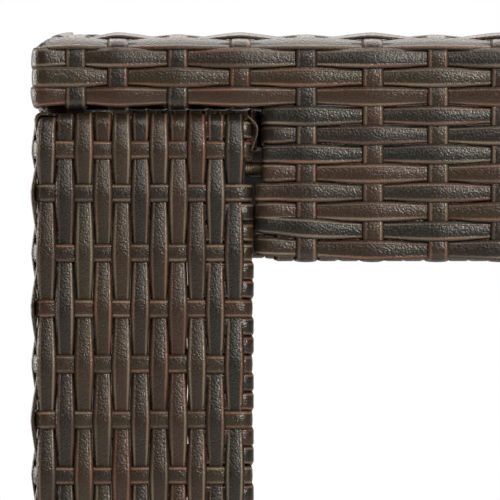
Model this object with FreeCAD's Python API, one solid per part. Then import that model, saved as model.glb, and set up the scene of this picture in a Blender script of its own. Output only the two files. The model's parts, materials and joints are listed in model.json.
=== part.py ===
"""Bar table: skins of woven flat strand over bolted steel tube frames, with a glass pane let into the rim.

Millimetres. +Z is up, the front is at -Y, and the origin is on the floor below the middle of the table.
"""

import FreeCAD, Part
import math
import os

from FreeCAD import Vector

# Overall size of the standing table
TABLE_LENGTH = 1000.0
TABLE_WIDTH = 605.0
TABLE_HEIGHT = 1105.0

# Woven skins: flat strands two layers deep, drawn tight over the tubes
WEAVE_THICKNESS = 3.0
WEAVE_CLEARANCE = 0.2
STRAND_PITCH = 8.0
STRAND_CROWN = 0.6
WRAP_INSET = 1.0
SKIN_EDGE_RADIUS = 5.0
WRAP_EDGE_RADIUS = 4.0
FOLD_RADIUS = 2.0
RIM_CORNER_RADIUS = 8.0

# Top frame of square steel tube
TUBE_CORNER_RADIUS = 2.0
RIM_TUBE = 25.0
RIM_WALL = 1.2
APRON_HEIGHT = 95.0
APRON_TUBE = 20.0
APRON_WALL = 1.0
STRUT_TUBE = 16.0
STRUT_SPACING = 270.0
FIRST_GROOVE_DROP = 6.0

# Glass pane and the bars that carry it
CROSS_BAR_TUBE = 20.0
CROSS_BAR_WALL = 1.0
CROSS_BAR_INSET = 95.0
PAD_DIAMETER = 12.0
PAD_THICKNESS = 1.0
PADS_PER_BAR = 4
PAD_INSET = 40.0
GLASS_THICKNESS = 5.0
GLASS_GAP = 2.0
GLASS_CORNER_RADIUS = 6.0
GLASS_ARRIS = 0.8

# Angle legs
LEG_WIDTH = 92.0
LEG_TUBE = 20.0
LEG_WALL = 1.0
LEG_TOP_GAP = 0.8
LEG_SIDE_GAP = 2.0
LEG_FLOOR_GAP = 10.0
RUNG_TUBE = 12.0
RUNG_WALL = 1.0
RUNG_ABOVE_FOOT_RAIL = 35.0
RUNG_SPANS = 3

# Foot rails
FOOT_RAIL_HEIGHT = 250.0
FOOT_RAIL_TUBE = 20.0
FOOT_RAIL_WALL = 1.0
FOOT_RAIL_END_PLATE = 2.0

# Leg bolts with their washers and rivet nuts
BOLT_DIAMETER = 6.0
BOLT_LENGTH = 45.0
BOLT_HEAD_DIAMETER = 10.5
BOLT_HEAD_HEIGHT = 3.3
BOLT_HEAD_CHAMFER = 1.2
BOLT_SOCKET = 4.0
BOLT_SOCKET_DEPTH = 2.0
BOLT_HOLE = 6.6
APRON_BOLT_DROP = 56.0
WASHER_DIAMETER = 12.0
WASHER_THICKNESS = 1.6
RIVET_NUT_DIAMETER = 9.0
RIVET_NUT_LENGTH = 12.0
RIVET_NUT_FLANGE = 12.0
RIVET_NUT_FLANGE_THICKNESS = 0.8
THREAD_CLEARANCE = 0.05

# Levelling feet and tube ends
FOOT_DIAMETER = 25.0
FOOT_DISC_HEIGHT = 5.0
FOOT_DISC_CHAMFER = 1.0
FOOT_HEX = 13.0
FOOT_STUD_DIAMETER = 8.0
FOOT_STUD_LENGTH = 30.0
FOOT_SEAT_CLEARANCE = 0.3
FOOT_BORE_CLEARANCE = 0.15
INSERT_LENGTH = 22.0
CAP_THICKNESS = 3.0
CAP_PLUG_LENGTH = 10.0
PLUG_CLEARANCE = 0.1

# Sizes that follow from the ones above
SKIN_DEPTH = WEAVE_THICKNESS + WEAVE_CLEARANCE
RIM_DEPTH = RIM_TUBE + 2 * SKIN_DEPTH
RIM_TUBE_TOP = TABLE_HEIGHT - SKIN_DEPTH
RIM_TUBE_BOTTOM = RIM_TUBE_TOP - RIM_TUBE
APRON_BOTTOM = TABLE_HEIGHT - APRON_HEIGHT
APRON_WRAP = APRON_TUBE + 2 * SKIN_DEPTH
RAIL_BOTTOM = APRON_BOTTOM + SKIN_DEPTH
RAIL_TOP = RAIL_BOTTOM + APRON_TUBE
CROSS_BAR_TOP = RIM_TUBE_BOTTOM + CROSS_BAR_TUBE
GLASS_BOTTOM = CROSS_BAR_TOP + PAD_THICKNESS
GLASS_INSET = RIM_DEPTH + GLASS_GAP
LEG_TOP = TABLE_HEIGHT - RIM_DEPTH - LEG_TOP_GAP
LEG_WRAP = LEG_TUBE + 2 * SKIN_DEPTH
LEG_TUBE_TOP = LEG_TOP - SKIN_DEPTH
LEG_TUBE_BOTTOM = LEG_FLOOR_GAP + SKIN_DEPTH
EDGE_TUBE_START = LEG_WIDTH - SKIN_DEPTH - LEG_TUBE
TUBE_AXIS = SKIN_DEPTH + LEG_TUBE / 2
APRON_BOLT_HEIGHT = TABLE_HEIGHT - APRON_BOLT_DROP
BOLT_HEIGHTS = (APRON_BOLT_HEIGHT, FOOT_RAIL_HEIGHT)
APRON_INSET = LEG_WIDTH + LEG_SIDE_GAP
POST_START = APRON_INSET + SKIN_DEPTH
FOOT_RAIL_INSET = LEG_WIDTH + RIVET_NUT_FLANGE_THICKNESS + WEAVE_CLEARANCE
FOOT_RAIL_WRAP = FOOT_RAIL_TUBE + 2 * SKIN_DEPTH

SIDE_TURNS = {"front": 0.0, "right": 90.0, "back": 180.0, "left": 270.0}
CORNERS = ("front_left", "front_right", "back_left", "back_right")

ORIGIN = Vector(0, 0, 0)
X_AXIS = Vector(1, 0, 0)
Y_AXIS = Vector(0, 1, 0)
Z_AXIS = Vector(0, 0, 1)
OVERCUT = 1.0
PARALLEL = 1e-6


def side_length(side):
    """Length of one side of the table over its woven skin."""
    return TABLE_LENGTH if side in ("front", "back") else TABLE_WIDTH


def place_side(shape, side):
    """Turn a shape from the side's own frame (x along it, y inwards from its face) into the table's frame."""
    reach = (TABLE_WIDTH if side in ("front", "back") else TABLE_LENGTH) / 2
    placed = shape.copy()
    placed.translate(Vector(0, -reach, 0))
    placed.rotate(ORIGIN, Z_AXIS, SIDE_TURNS[side])
    return placed


def place_corner(shape, corner):
    """Put a shape from the leg's own frame (outer corner at 0, 0) at one corner of the table."""
    placed = shape.copy()
    placed.translate(Vector(-TABLE_LENGTH / 2, -TABLE_WIDTH / 2, 0))
    if corner.endswith("right"):
        placed = placed.mirror(ORIGIN, X_AXIS)
    if corner.startswith("back"):
        placed = placed.mirror(ORIGIN, Y_AXIS)
    return placed


def swapped(shape):
    """The same shape on the leg's other outer face."""
    return shape.mirror(ORIGIN, Vector(1, -1, 0))


def box(low, high):
    """Box between two opposite corners."""
    size = high - low
    return Part.makeBox(size.x, size.y, size.z, low)


def edges_along(shape, axis):
    """Straight edges of a shape that run along an axis."""
    return [edge for edge in shape.Edges if edge.tangentAt(edge.FirstParameter).cross(axis).Length < PARALLEL]


def rounded_bar(low, high, axis, radius):
    """Box whose four long edges, along the axis, are rounded."""
    bar = box(low, high)
    return bar.makeFillet(radius, edges_along(bar, axis))


def square_tube(low, high, axis, wall):
    """Open-ended square tube that fills the space from low to high along the axis."""
    inset = (X_AXIS + Y_AXIS + Z_AXIS - axis) * wall
    overrun = axis * OVERCUT
    bore = box(low + inset - overrun, high - inset + overrun)
    return rounded_bar(low, high, axis, TUBE_CORNER_RADIUS).cut(bore)


def cylinder(radius, start, end):
    """Round bar from one point to another."""
    run = end - start
    return Part.makeCylinder(radius, run.Length, start, run)


def prism(edges, run):
    """Closed outline pushed along a vector."""
    return Part.Face(Part.Wire(edges)).extrude(run)


def line(start, end):
    """Straight edge."""
    return Part.LineSegment(start, end).toShape()


def rib(start, end, rise):
    """Arc from one groove to the next whose crown stands off the chord by the vector rise."""
    return Part.Arc(start, (start + end) * 0.5 + rise, end).toShape()


def polyline(points):
    """Straight edges through a row of points."""
    return [line(start, end) for start, end in zip(points, points[1:])]


def fused(shapes):
    """One solid from shapes that touch."""
    return shapes[0].fuse(shapes[1:]).removeSplitter()


def cut_all(shape, tools):
    """A shape less several others."""
    return shape.cut(Part.makeCompound(tools))


def rim_grooves(end_drop):
    """Drops below the table top of the grooves between strands, down to a lowest drop."""
    count = math.floor((end_drop - FIRST_GROOVE_DROP) / STRAND_PITCH)
    return [FIRST_GROOVE_DROP + STRAND_PITCH * index for index in range(count + 1)]


def front_point(drop, depth=STRAND_CROWN):
    """Point of a side's section at a drop below the top and a depth behind the strand crowns."""
    return Vector(0, depth, TABLE_HEIGHT - drop)


def top_point(depth, drop=STRAND_CROWN):
    """Point of a side's section on its upper face."""
    return Vector(0, depth, TABLE_HEIGHT - drop)


def along_side(edges, half_length):
    """Section of a side pushed along the side, centred on it."""
    solid = prism(edges, X_AXIS * 2 * half_length)
    solid.translate(X_AXIS * -half_length)
    return solid


def mitred(shape, half_length):
    """A side's shape cut at 45 degrees at both ends, to meet the next sides."""
    depth = RIM_DEPTH + OVERCUT
    reach = half_length + OVERCUT
    corner = [Vector(reach, -OVERCUT), Vector(half_length - depth, depth), Vector(reach, depth)]
    wedge = prism(polyline(corner + corner[:1]), Z_AXIS * TABLE_HEIGHT * 2)
    return cut_all(shape, [wedge, wedge.mirror(ORIGIN, X_AXIS)])


def rim_strands(half_length):
    """Ribbed sheet over the top and the front of the rim."""
    top_depths = rim_grooves(RIM_DEPTH)
    drops = rim_grooves(RIM_DEPTH)
    corner = SKIN_EDGE_RADIUS * (1 - math.sqrt(0.5))
    edges = []
    for outer, inner in zip(top_depths, top_depths[1:]):
        edges.append(rib(top_point(inner), top_point(outer), Z_AXIS * STRAND_CROWN))
    edges.reverse()
    shoulder = front_point(corner, corner)
    edges.append(Part.Arc(top_point(top_depths[0]), shoulder, front_point(drops[0])).toShape())
    for upper, lower in zip(drops, drops[1:]):
        edges.append(rib(front_point(upper), front_point(lower), Y_AXIS * -STRAND_CROWN))
    inner_line = [
        front_point(drops[-1]),
        front_point(drops[-1], WEAVE_THICKNESS),
        front_point(WEAVE_THICKNESS, WEAVE_THICKNESS),
        top_point(top_depths[-1], WEAVE_THICKNESS),
        top_point(top_depths[-1]),
    ]
    return along_side(edges + polyline(inner_line), half_length)


def apron_strands(half_length):
    """Ribbed sheet down the front of the apron, below the rim."""
    start = rim_grooves(RIM_DEPTH)[-1]
    drops = [drop for drop in rim_grooves(APRON_HEIGHT) if drop >= start]
    edges = []
    for upper, lower in zip(drops, drops[1:]):
        edges.append(rib(front_point(upper), front_point(lower), Y_AXIS * -STRAND_CROWN))
    inner_line = [
        front_point(drops[-1]),
        front_point(drops[-1], WEAVE_THICKNESS),
        front_point(drops[0], WEAVE_THICKNESS),
        front_point(drops[0]),
    ]
    return along_side(edges + polyline(inner_line), half_length)


def rim_wrap(half_length):
    """Wound sleeve round the rim tube."""
    low = Vector(-half_length, WRAP_INSET, TABLE_HEIGHT - RIM_DEPTH)
    high = Vector(half_length, RIM_DEPTH, TABLE_HEIGHT - WRAP_INSET)
    return rounded_bar(low, high, X_AXIS, WRAP_EDGE_RADIUS)


def apron_wraps(half_apron):
    """Wound sleeves round the apron's rail and its two end posts."""
    low = Vector(-half_apron, WRAP_INSET, APRON_BOTTOM)
    rail_high = Vector(half_apron, APRON_WRAP, APRON_BOTTOM + APRON_WRAP)
    rail = rounded_bar(low, rail_high, X_AXIS, WRAP_EDGE_RADIUS)
    post_high = Vector(-half_apron + APRON_WRAP, APRON_WRAP, TABLE_HEIGHT - RIM_DEPTH + WEAVE_THICKNESS)
    post = rounded_bar(low, post_high, Z_AXIS, WRAP_EDGE_RADIUS)
    return [rail, post, post.mirror(ORIGIN, X_AXIS)]


def apron_envelope(half_apron):
    """Outline of the apron with its two lower corners rounded."""
    low = Vector(-half_apron, -OVERCUT, APRON_BOTTOM)
    block = box(low, Vector(half_apron, RIM_DEPTH, TABLE_HEIGHT))
    lower = [edge for edge in edges_along(block, Y_AXIS) if edge.CenterOfMass.z < APRON_BOTTOM + OVERCUT]
    return block.makeFillet(SKIN_EDGE_RADIUS, lower)


def frame_voids(half_length, half_apron):
    """Spaces that the tubes of one side take out of its woven skin."""
    room = WEAVE_CLEARANCE
    rim_low = Vector(-half_length - OVERCUT, WEAVE_THICKNESS, RIM_TUBE_BOTTOM - room)
    rim = box(rim_low, Vector(half_length + OVERCUT, SKIN_DEPTH + RIM_TUBE + room, RIM_TUBE_TOP + room))
    rail_end = half_apron - WEAVE_THICKNESS
    inner = SKIN_DEPTH + APRON_TUBE + room
    rail_low = Vector(-rail_end, WEAVE_THICKNESS, RAIL_BOTTOM - room)
    rail = box(rail_low, Vector(rail_end, inner, RAIL_TOP + room))
    post_high = Vector(-rail_end + APRON_TUBE + 2 * room, inner, RIM_TUBE_BOTTOM)
    post = box(Vector(-rail_end, WEAVE_THICKNESS, RAIL_TOP), post_high)
    return [rim, rail, post, post.mirror(ORIGIN, X_AXIS)]


def strut_places(half_apron):
    """Positions along an apron of the upright struts between its posts."""
    spans = max(2, round(2 * half_apron / STRUT_SPACING))
    return [half_apron * (2 * index / spans - 1) for index in range(1, spans)]


def strut_voids(half_apron):
    """Openings for the struts where they pass the sleeve on the underside of the rim."""
    reach = STRUT_TUBE / 2 + WEAVE_CLEARANCE
    voids = []
    for place in strut_places(half_apron):
        low = Vector(place - reach, WEAVE_THICKNESS, RAIL_TOP - OVERCUT)
        high = Vector(place + reach, SKIN_DEPTH + STRUT_TUBE + WEAVE_CLEARANCE, RIM_TUBE_BOTTOM + OVERCUT)
        voids.append(box(low, high))
    return voids


def nut_openings(half_apron):
    """Round openings in the skin over the rivet nuts of the two end posts."""
    radius = RIVET_NUT_FLANGE / 2 + WEAVE_CLEARANCE
    start = Vector(-half_apron - OVERCUT, TUBE_AXIS, APRON_BOLT_HEIGHT)
    opening = cylinder(radius, start, start + X_AXIS * (SKIN_DEPTH + 2 * OVERCUT))
    return [opening, opening.mirror(ORIGIN, X_AXIS)]


def cross_bar_places():
    """Positions along the table of the bars under the glass."""
    end = TABLE_LENGTH / 2 - GLASS_INSET - CROSS_BAR_INSET
    return {"left": -end, "middle": 0.0, "right": end}


def bar_openings():
    """Openings in a long side's skin where the cross bars reach the rim tube."""
    reach = CROSS_BAR_TUBE / 2 + WEAVE_CLEARANCE
    openings = []
    for place in cross_bar_places().values():
        low = Vector(place - reach, SKIN_DEPTH + RIM_TUBE, RIM_TUBE_BOTTOM - WEAVE_CLEARANCE)
        high = Vector(place + reach, RIM_DEPTH + OVERCUT, CROSS_BAR_TOP + WEAVE_CLEARANCE)
        openings.append(box(low, high))
    return openings


def apron_weave(side):
    """Woven skin of one side of the table: rim, apron and the sleeves round their tubes."""
    half_length = side_length(side) / 2
    half_apron = half_length - APRON_INSET
    rim = mitred(fused([rim_wrap(half_length), rim_strands(half_length)]), half_length)
    apron = fused(apron_wraps(half_apron) + [apron_strands(half_apron)]).common(apron_envelope(half_apron))
    window_low = Vector(-half_apron + APRON_WRAP, WEAVE_THICKNESS, APRON_BOTTOM + APRON_WRAP)
    window_high = Vector(half_apron - APRON_WRAP, RIM_DEPTH, TABLE_HEIGHT - RIM_DEPTH)
    tools = frame_voids(half_length, half_apron) + strut_voids(half_apron) + nut_openings(half_apron)
    tools.append(box(window_low, window_high))
    if side in ("front", "back"):
        tools += bar_openings()
    skin = place_side(cut_all(fused([rim, apron]), tools), side)
    plan = Vector(TABLE_LENGTH / 2, TABLE_WIDTH / 2, 0)
    outline = rounded_bar(-plan, plan + Z_AXIS * (TABLE_HEIGHT + OVERCUT), Z_AXIS, RIM_CORNER_RADIUS)
    return skin.common(outline)


def rim_tube(side):
    """Mitred tube of the rim on one side."""
    half_length = side_length(side) / 2
    low = Vector(-half_length, SKIN_DEPTH, RIM_TUBE_BOTTOM)
    high = Vector(half_length, SKIN_DEPTH + RIM_TUBE, RIM_TUBE_TOP)
    return place_side(mitred(square_tube(low, high, X_AXIS, RIM_WALL), half_length), side)


def apron_rail(side):
    """Lower tube of one apron."""
    end = side_length(side) / 2 - POST_START
    low = Vector(-end, SKIN_DEPTH, RAIL_BOTTOM)
    high = Vector(end, SKIN_DEPTH + APRON_TUBE, RAIL_TOP)
    return place_side(square_tube(low, high, X_AXIS, APRON_WALL), side)


def apron_posts(side):
    """End posts of one apron, drilled for the rivet nuts, and the struts between them."""
    half_length = side_length(side) / 2
    post_end = half_length - POST_START
    low = Vector(-post_end, SKIN_DEPTH, RAIL_TOP)
    high = Vector(-post_end + APRON_TUBE, SKIN_DEPTH + APRON_TUBE, RIM_TUBE_BOTTOM)
    hole_start = Vector(-post_end - OVERCUT, TUBE_AXIS, APRON_BOLT_HEIGHT)
    hole_end = hole_start + X_AXIS * (APRON_WALL + 2 * OVERCUT)
    hole = cylinder(RIVET_NUT_DIAMETER / 2 + THREAD_CLEARANCE, hole_start, hole_end)
    post = square_tube(low, high, Z_AXIS, APRON_WALL).cut(hole)
    solids = [post, post.mirror(ORIGIN, X_AXIS)]
    for place in strut_places(half_length - APRON_INSET):
        strut_low = Vector(place - STRUT_TUBE / 2, SKIN_DEPTH, RAIL_TOP)
        strut_high = Vector(place + STRUT_TUBE / 2, SKIN_DEPTH + STRUT_TUBE, RIM_TUBE_BOTTOM)
        solids.append(square_tube(strut_low, strut_high, Z_AXIS, APRON_WALL))
    return place_side(Part.makeCompound(solids), side)


def cross_bar(place):
    """Tube across the top frame that carries the glass."""
    reach = TABLE_WIDTH / 2 - SKIN_DEPTH - RIM_TUBE
    low = Vector(place - CROSS_BAR_TUBE / 2, -reach, RIM_TUBE_BOTTOM)
    return square_tube(low, Vector(place + CROSS_BAR_TUBE / 2, reach, CROSS_BAR_TOP), Y_AXIS, CROSS_BAR_WALL)


def glass_pads():
    """Soft discs between the cross bars and the glass."""
    reach = TABLE_WIDTH / 2 - GLASS_INSET - PAD_INSET
    pads = []
    for place in cross_bar_places().values():
        for index in range(PADS_PER_BAR):
            across = reach * (2 * index / (PADS_PER_BAR - 1) - 1)
            start = Vector(place, across, CROSS_BAR_TOP)
            pads.append(cylinder(PAD_DIAMETER / 2, start, start + Z_AXIS * PAD_THICKNESS))
    return Part.makeCompound(pads)


def glass_pane():
    """Toughened glass pane with rounded corners and ground edges."""
    plan = Vector(TABLE_LENGTH / 2 - GLASS_INSET, TABLE_WIDTH / 2 - GLASS_INSET, 0)
    low = Z_AXIS * GLASS_BOTTOM - plan
    pane = rounded_bar(low, plan + Z_AXIS * (GLASS_BOTTOM + GLASS_THICKNESS), Z_AXIS, GLASS_CORNER_RADIUS)
    faces = [face for face in pane.Faces if abs(face.normalAt(0, 0).z) > 0.5]
    return pane.makeChamfer(GLASS_ARRIS, [edge for face in faces for edge in face.Edges])


def leg_grooves():
    """Distances from the leg's outer corner of the grooves between its upright strands."""
    count = math.floor(LEG_WIDTH / STRAND_PITCH)
    first = (LEG_WIDTH - (count - 1) * STRAND_PITCH) / 2 + STRAND_PITCH / 2
    return [first + STRAND_PITCH * index for index in range(count)]


def leg_strands():
    """Ribbed sheet over both outer faces of a leg."""
    grooves = leg_grooves()
    points = [Vector(groove, STRAND_CROWN, 0) for groove in grooves]
    crest = Vector(SKIN_EDGE_RADIUS, 0, 0)
    shoulder = SKIN_EDGE_RADIUS * (1 - math.sqrt(0.5))
    corner = Part.Arc(Vector(0, SKIN_EDGE_RADIUS, 0), Vector(shoulder, shoulder, 0), crest).toShape()
    half_way = Vector((SKIN_EDGE_RADIUS + grooves[0]) / 2, STRAND_CROWN / 4, 0)
    edges = [Part.Arc(crest, half_way, points[0]).toShape()]
    edges += [rib(start, end, Y_AXIS * -STRAND_CROWN) for start, end in zip(points, points[1:])]
    end = Vector(grooves[-1], WEAVE_THICKNESS, 0)
    edges += polyline([points[-1], end, Vector(WEAVE_THICKNESS, WEAVE_THICKNESS, 0)])
    outline = [corner] + edges + [swapped(edge) for edge in edges]
    sheet = prism(Part.__sortEdges__(outline), Z_AXIS * (LEG_TOP - LEG_FLOOR_GAP - 2 * FOLD_RADIUS))
    sheet.translate(Z_AXIS * (LEG_FLOOR_GAP + FOLD_RADIUS))
    return sheet


def leg_fold(low, high, folded):
    """Angle-shaped layer where strands turn over the end of a leg, its edges rounded at the height folded."""
    arm = box(Vector(WRAP_INSET, WRAP_INSET, low), Vector(LEG_WIDTH, LEG_WRAP, high))
    layer = fused([arm, swapped(arm)])
    level = [edge for edge in layer.Edges if edge.BoundBox.ZLength < FOLD_RADIUS]
    outer = [edge for edge in level if abs(edge.CenterOfMass.z - folded) < FOLD_RADIUS]
    return layer.makeFillet(FOLD_RADIUS, outer)


def leg_wrap():
    """Wound sleeve round the edge tube of a leg's front face."""
    low = Vector(LEG_WIDTH - LEG_WRAP, WRAP_INSET, LEG_FLOOR_GAP + FOLD_RADIUS)
    return rounded_bar(low, Vector(LEG_WIDTH, LEG_WRAP, LEG_TOP - FOLD_RADIUS), Z_AXIS, WRAP_EDGE_RADIUS)


def leg_bolt_openings():
    """Openings in a leg's front sleeve for its bolts and washers."""
    openings = []
    for height in BOLT_HEIGHTS:
        axis = Vector(0, TUBE_AXIS, height)
        head_start = axis + X_AXIS * (LEG_WIDTH - LEG_WRAP - OVERCUT)
        washer_room = WASHER_DIAMETER / 2 + WEAVE_CLEARANCE
        openings.append(cylinder(washer_room, head_start, axis + X_AXIS * (EDGE_TUBE_START + OVERCUT)))
        shank_start = axis + X_AXIS * EDGE_TUBE_START
        openings.append(cylinder(BOLT_HOLE / 2, shank_start, axis + X_AXIS * (LEG_WIDTH + OVERCUT)))
    return openings


def leg_weave():
    """Woven skin of a leg: two ribbed faces, wound free edges and strands turned over both ends."""
    wrap = leg_wrap()
    top = leg_fold(LEG_TOP - WEAVE_THICKNESS, LEG_TOP, LEG_TOP)
    bottom = leg_fold(LEG_FLOOR_GAP, LEG_FLOOR_GAP + WEAVE_THICKNESS, LEG_FLOOR_GAP)
    skin = fused([leg_strands(), wrap, swapped(wrap), top, bottom])
    inner = LEG_WIDTH - LEG_WRAP
    inside_low = Vector(WEAVE_THICKNESS, WEAVE_THICKNESS, LEG_FLOOR_GAP + WEAVE_THICKNESS)
    inside = box(inside_low, Vector(inner, inner, LEG_TOP - WEAVE_THICKNESS))
    tube_size = LEG_TUBE + 2 * WEAVE_CLEARANCE
    run = LEG_TOP - WEAVE_THICKNESS
    edge_low = Vector(EDGE_TUBE_START - WEAVE_CLEARANCE, WEAVE_THICKNESS, 0)
    edge = Part.makeBox(tube_size, tube_size, run, edge_low)
    corner = Part.makeBox(tube_size, tube_size, run, Vector(WEAVE_THICKNESS, WEAVE_THICKNESS, 0))
    front_tools = [edge] + leg_bolt_openings() + rung_openings()
    return cut_all(skin, [inside, corner] + front_tools + [swapped(tool) for tool in front_tools])


def leg_tube(start):
    """Upright tube of a leg's front face, its outer side at a distance from the leg's corner."""
    low = Vector(start, SKIN_DEPTH, LEG_TUBE_BOTTOM)
    high = Vector(start + LEG_TUBE, SKIN_DEPTH + LEG_TUBE, LEG_TUBE_TOP)
    return square_tube(low, high, Z_AXIS, LEG_WALL)


def leg_edge_tube():
    """Edge tube of a leg's front face, drilled for its bolts."""
    tube = leg_tube(EDGE_TUBE_START)
    holes = []
    for height in BOLT_HEIGHTS:
        start = Vector(EDGE_TUBE_START - OVERCUT, TUBE_AXIS, height)
        holes.append(cylinder(BOLT_HOLE / 2, start, start + X_AXIS * (LEG_TUBE + 2 * OVERCUT)))
    return cut_all(tube, holes)


def rung_heights():
    """Lower sides of the rungs: at both ends of the leg, above the foot rail, and evenly between."""
    low = FOOT_RAIL_HEIGHT + RUNG_ABOVE_FOOT_RAIL
    high = LEG_TUBE_TOP - RUNG_TUBE
    step = (high - low) / RUNG_SPANS
    return [LEG_TUBE_BOTTOM] + [low + step * index for index in range(RUNG_SPANS + 1)]


def rung_corners(height):
    """Two opposite corners of the rung of a leg's front face at a height."""
    low = Vector(SKIN_DEPTH + LEG_TUBE, SKIN_DEPTH, height)
    return low, Vector(EDGE_TUBE_START, SKIN_DEPTH + RUNG_TUBE, height + RUNG_TUBE)


def rung_openings():
    """Openings in a leg's front sleeve where the rungs reach its edge tube."""
    room = Vector(0, WEAVE_CLEARANCE, WEAVE_CLEARANCE)
    return [box(low - room, high + room) for low, high in map(rung_corners, rung_heights())]


def leg_rungs():
    """Short tubes welded between the corner tube and the two edge tubes of a leg."""
    inset = Vector(-OVERCUT, RUNG_WALL, RUNG_WALL)
    rungs = []
    for low, high in map(rung_corners, rung_heights()):
        rung = box(low, high).cut(box(low + inset, high - inset))
        rungs += [rung, swapped(rung)]
    return Part.makeCompound(rungs)


def tube_end(start, plug_length):
    """Moulded plate under a leg tube with a plug up inside it."""
    low = Vector(start, SKIN_DEPTH, LEG_TUBE_BOTTOM - CAP_THICKNESS)
    plate = rounded_bar(low, low + Vector(LEG_TUBE, LEG_TUBE, CAP_THICKNESS), Z_AXIS, TUBE_CORNER_RADIUS)
    inset = LEG_WALL + PLUG_CLEARANCE
    plug_low = Vector(start + inset, SKIN_DEPTH + inset, LEG_TUBE_BOTTOM)
    plug_size = LEG_TUBE - 2 * inset
    return fused([plate, Part.makeBox(plug_size, plug_size, plug_length, plug_low)])


def foot_insert():
    """Threaded plug in the bottom of a leg's corner tube."""
    axis = Vector(TUBE_AXIS, TUBE_AXIS, 0)
    radius = FOOT_STUD_DIAMETER / 2 + FOOT_BORE_CLEARANCE
    bore = cylinder(radius, axis, axis + Z_AXIS * (LEG_TUBE_BOTTOM + INSERT_LENGTH + OVERCUT))
    return tube_end(SKIN_DEPTH, INSERT_LENGTH).cut(bore)


def levelling_foot():
    """Screw-in foot: a round disc, a hexagon for the spanner and a stud."""
    axis = Vector(TUBE_AXIS, TUBE_AXIS, 0)
    seat = LEG_TUBE_BOTTOM - CAP_THICKNESS - FOOT_SEAT_CLEARANCE
    disc = cylinder(FOOT_DIAMETER / 2, axis, axis + Z_AXIS * FOOT_DISC_HEIGHT)
    rims = [edge for edge in disc.Edges if edge.isClosed()]
    disc = disc.makeChamfer(FOOT_DISC_CHAMFER, rims)
    spanner = hexagon_prism(FOOT_HEX, axis + Z_AXIS * FOOT_DISC_HEIGHT, seat - FOOT_DISC_HEIGHT)
    stud = cylinder(FOOT_STUD_DIAMETER / 2, axis + Z_AXIS * seat, axis + Z_AXIS * (seat + FOOT_STUD_LENGTH))
    return fused([disc, spanner, stud])


def hexagon_prism(across_flats, centre, height):
    """Upright hexagonal bar."""
    radius = across_flats / math.sqrt(3)
    turns = [math.radians(60 * index) for index in range(7)]
    corners = [centre + Vector(math.cos(turn), math.sin(turn), 0) * radius for turn in turns]
    return prism(polyline(corners), Z_AXIS * height)


def foot_rail(side):
    """Tube between two legs, closed by end plates drilled for the rivet nuts."""
    end = side_length(side) / 2 - FOOT_RAIL_INSET
    axis = Vector(0, TUBE_AXIS, FOOT_RAIL_HEIGHT)
    half = Vector(end, FOOT_RAIL_TUBE / 2, FOOT_RAIL_TUBE / 2)
    half_bore = half - Vector(FOOT_RAIL_END_PLATE, FOOT_RAIL_WALL, FOOT_RAIL_WALL)
    outer = rounded_bar(axis - half, axis + half, X_AXIS, TUBE_CORNER_RADIUS)
    bore = box(axis - half_bore, axis + half_bore)
    overrun = X_AXIS * (end + OVERCUT)
    hole = cylinder(RIVET_NUT_DIAMETER / 2 + THREAD_CLEARANCE, axis - overrun, axis + overrun)
    return place_side(cut_all(outer, [bore, hole]), side)


def foot_rail_wrap(side):
    """Wound sleeve over a foot rail."""
    end = side_length(side) / 2 - FOOT_RAIL_INSET
    axis = Vector(0, TUBE_AXIS, FOOT_RAIL_HEIGHT)
    half = Vector(end, FOOT_RAIL_WRAP / 2, FOOT_RAIL_WRAP / 2)
    half_void = half - Vector(-OVERCUT, WEAVE_THICKNESS, WEAVE_THICKNESS)
    sleeve = rounded_bar(axis - half, axis + half, X_AXIS, WRAP_EDGE_RADIUS)
    return place_side(sleeve.cut(box(axis - half_void, axis + half_void)), side)


def leg_bolt():
    """Button-head socket bolt along +X, its head bearing at the origin."""
    head = cylinder(BOLT_HEAD_DIAMETER / 2, ORIGIN - X_AXIS * BOLT_HEAD_HEIGHT, ORIGIN)
    rounds = [edge for edge in head.Edges if edge.isClosed()]
    crown = [edge for edge in rounds if edge.CenterOfMass.x < -BOLT_HEAD_HEIGHT / 2]
    head = head.makeChamfer(BOLT_HEAD_CHAMFER, crown)
    socket = hexagon_prism(BOLT_SOCKET, ORIGIN, BOLT_SOCKET_DEPTH)
    socket.rotate(ORIGIN, Y_AXIS, 90)
    socket.translate(X_AXIS * -BOLT_HEAD_HEIGHT)
    return fused([head.cut(socket), cylinder(BOLT_DIAMETER / 2, ORIGIN, X_AXIS * BOLT_LENGTH)])


def washer():
    """Flat washer along +X, its bearing side at the origin."""
    start = X_AXIS * -WASHER_THICKNESS
    bore = cylinder(BOLT_HOLE / 2, start - X_AXIS * OVERCUT, X_AXIS * OVERCUT)
    return cylinder(WASHER_DIAMETER / 2, start, ORIGIN).cut(bore)


def rivet_nut():
    """Blind threaded nut along +X, its flange against the wall at the origin."""
    flange_start = X_AXIS * -RIVET_NUT_FLANGE_THICKNESS
    flange = cylinder(RIVET_NUT_FLANGE / 2, flange_start, ORIGIN)
    barrel = cylinder(RIVET_NUT_DIAMETER / 2, ORIGIN, X_AXIS * RIVET_NUT_LENGTH)
    bore_end = X_AXIS * (RIVET_NUT_LENGTH + OVERCUT)
    bore = cylinder(BOLT_DIAMETER / 2 + THREAD_CLEARANCE, flange_start - X_AXIS * OVERCUT, bore_end)
    return fused([flange, barrel]).cut(bore)


def at_leg_joints(fastener, apron_start, foot_rail_start):
    """A fastener at both faces of every leg, at the apron and at the foot rail."""
    solids = []
    for height, start in zip(BOLT_HEIGHTS, (apron_start, foot_rail_start)):
        placed = fastener.copy()
        placed.translate(Vector(start, TUBE_AXIS, height))
        for corner in CORNERS:
            solids += [place_corner(placed, corner), place_corner(swapped(placed), corner)]
    return Part.makeCompound(solids)


def at_corners(shapes):
    """Copies of a leg's shapes at all four corners."""
    return Part.makeCompound([place_corner(shape, corner) for corner in CORNERS for shape in shapes])


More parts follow.
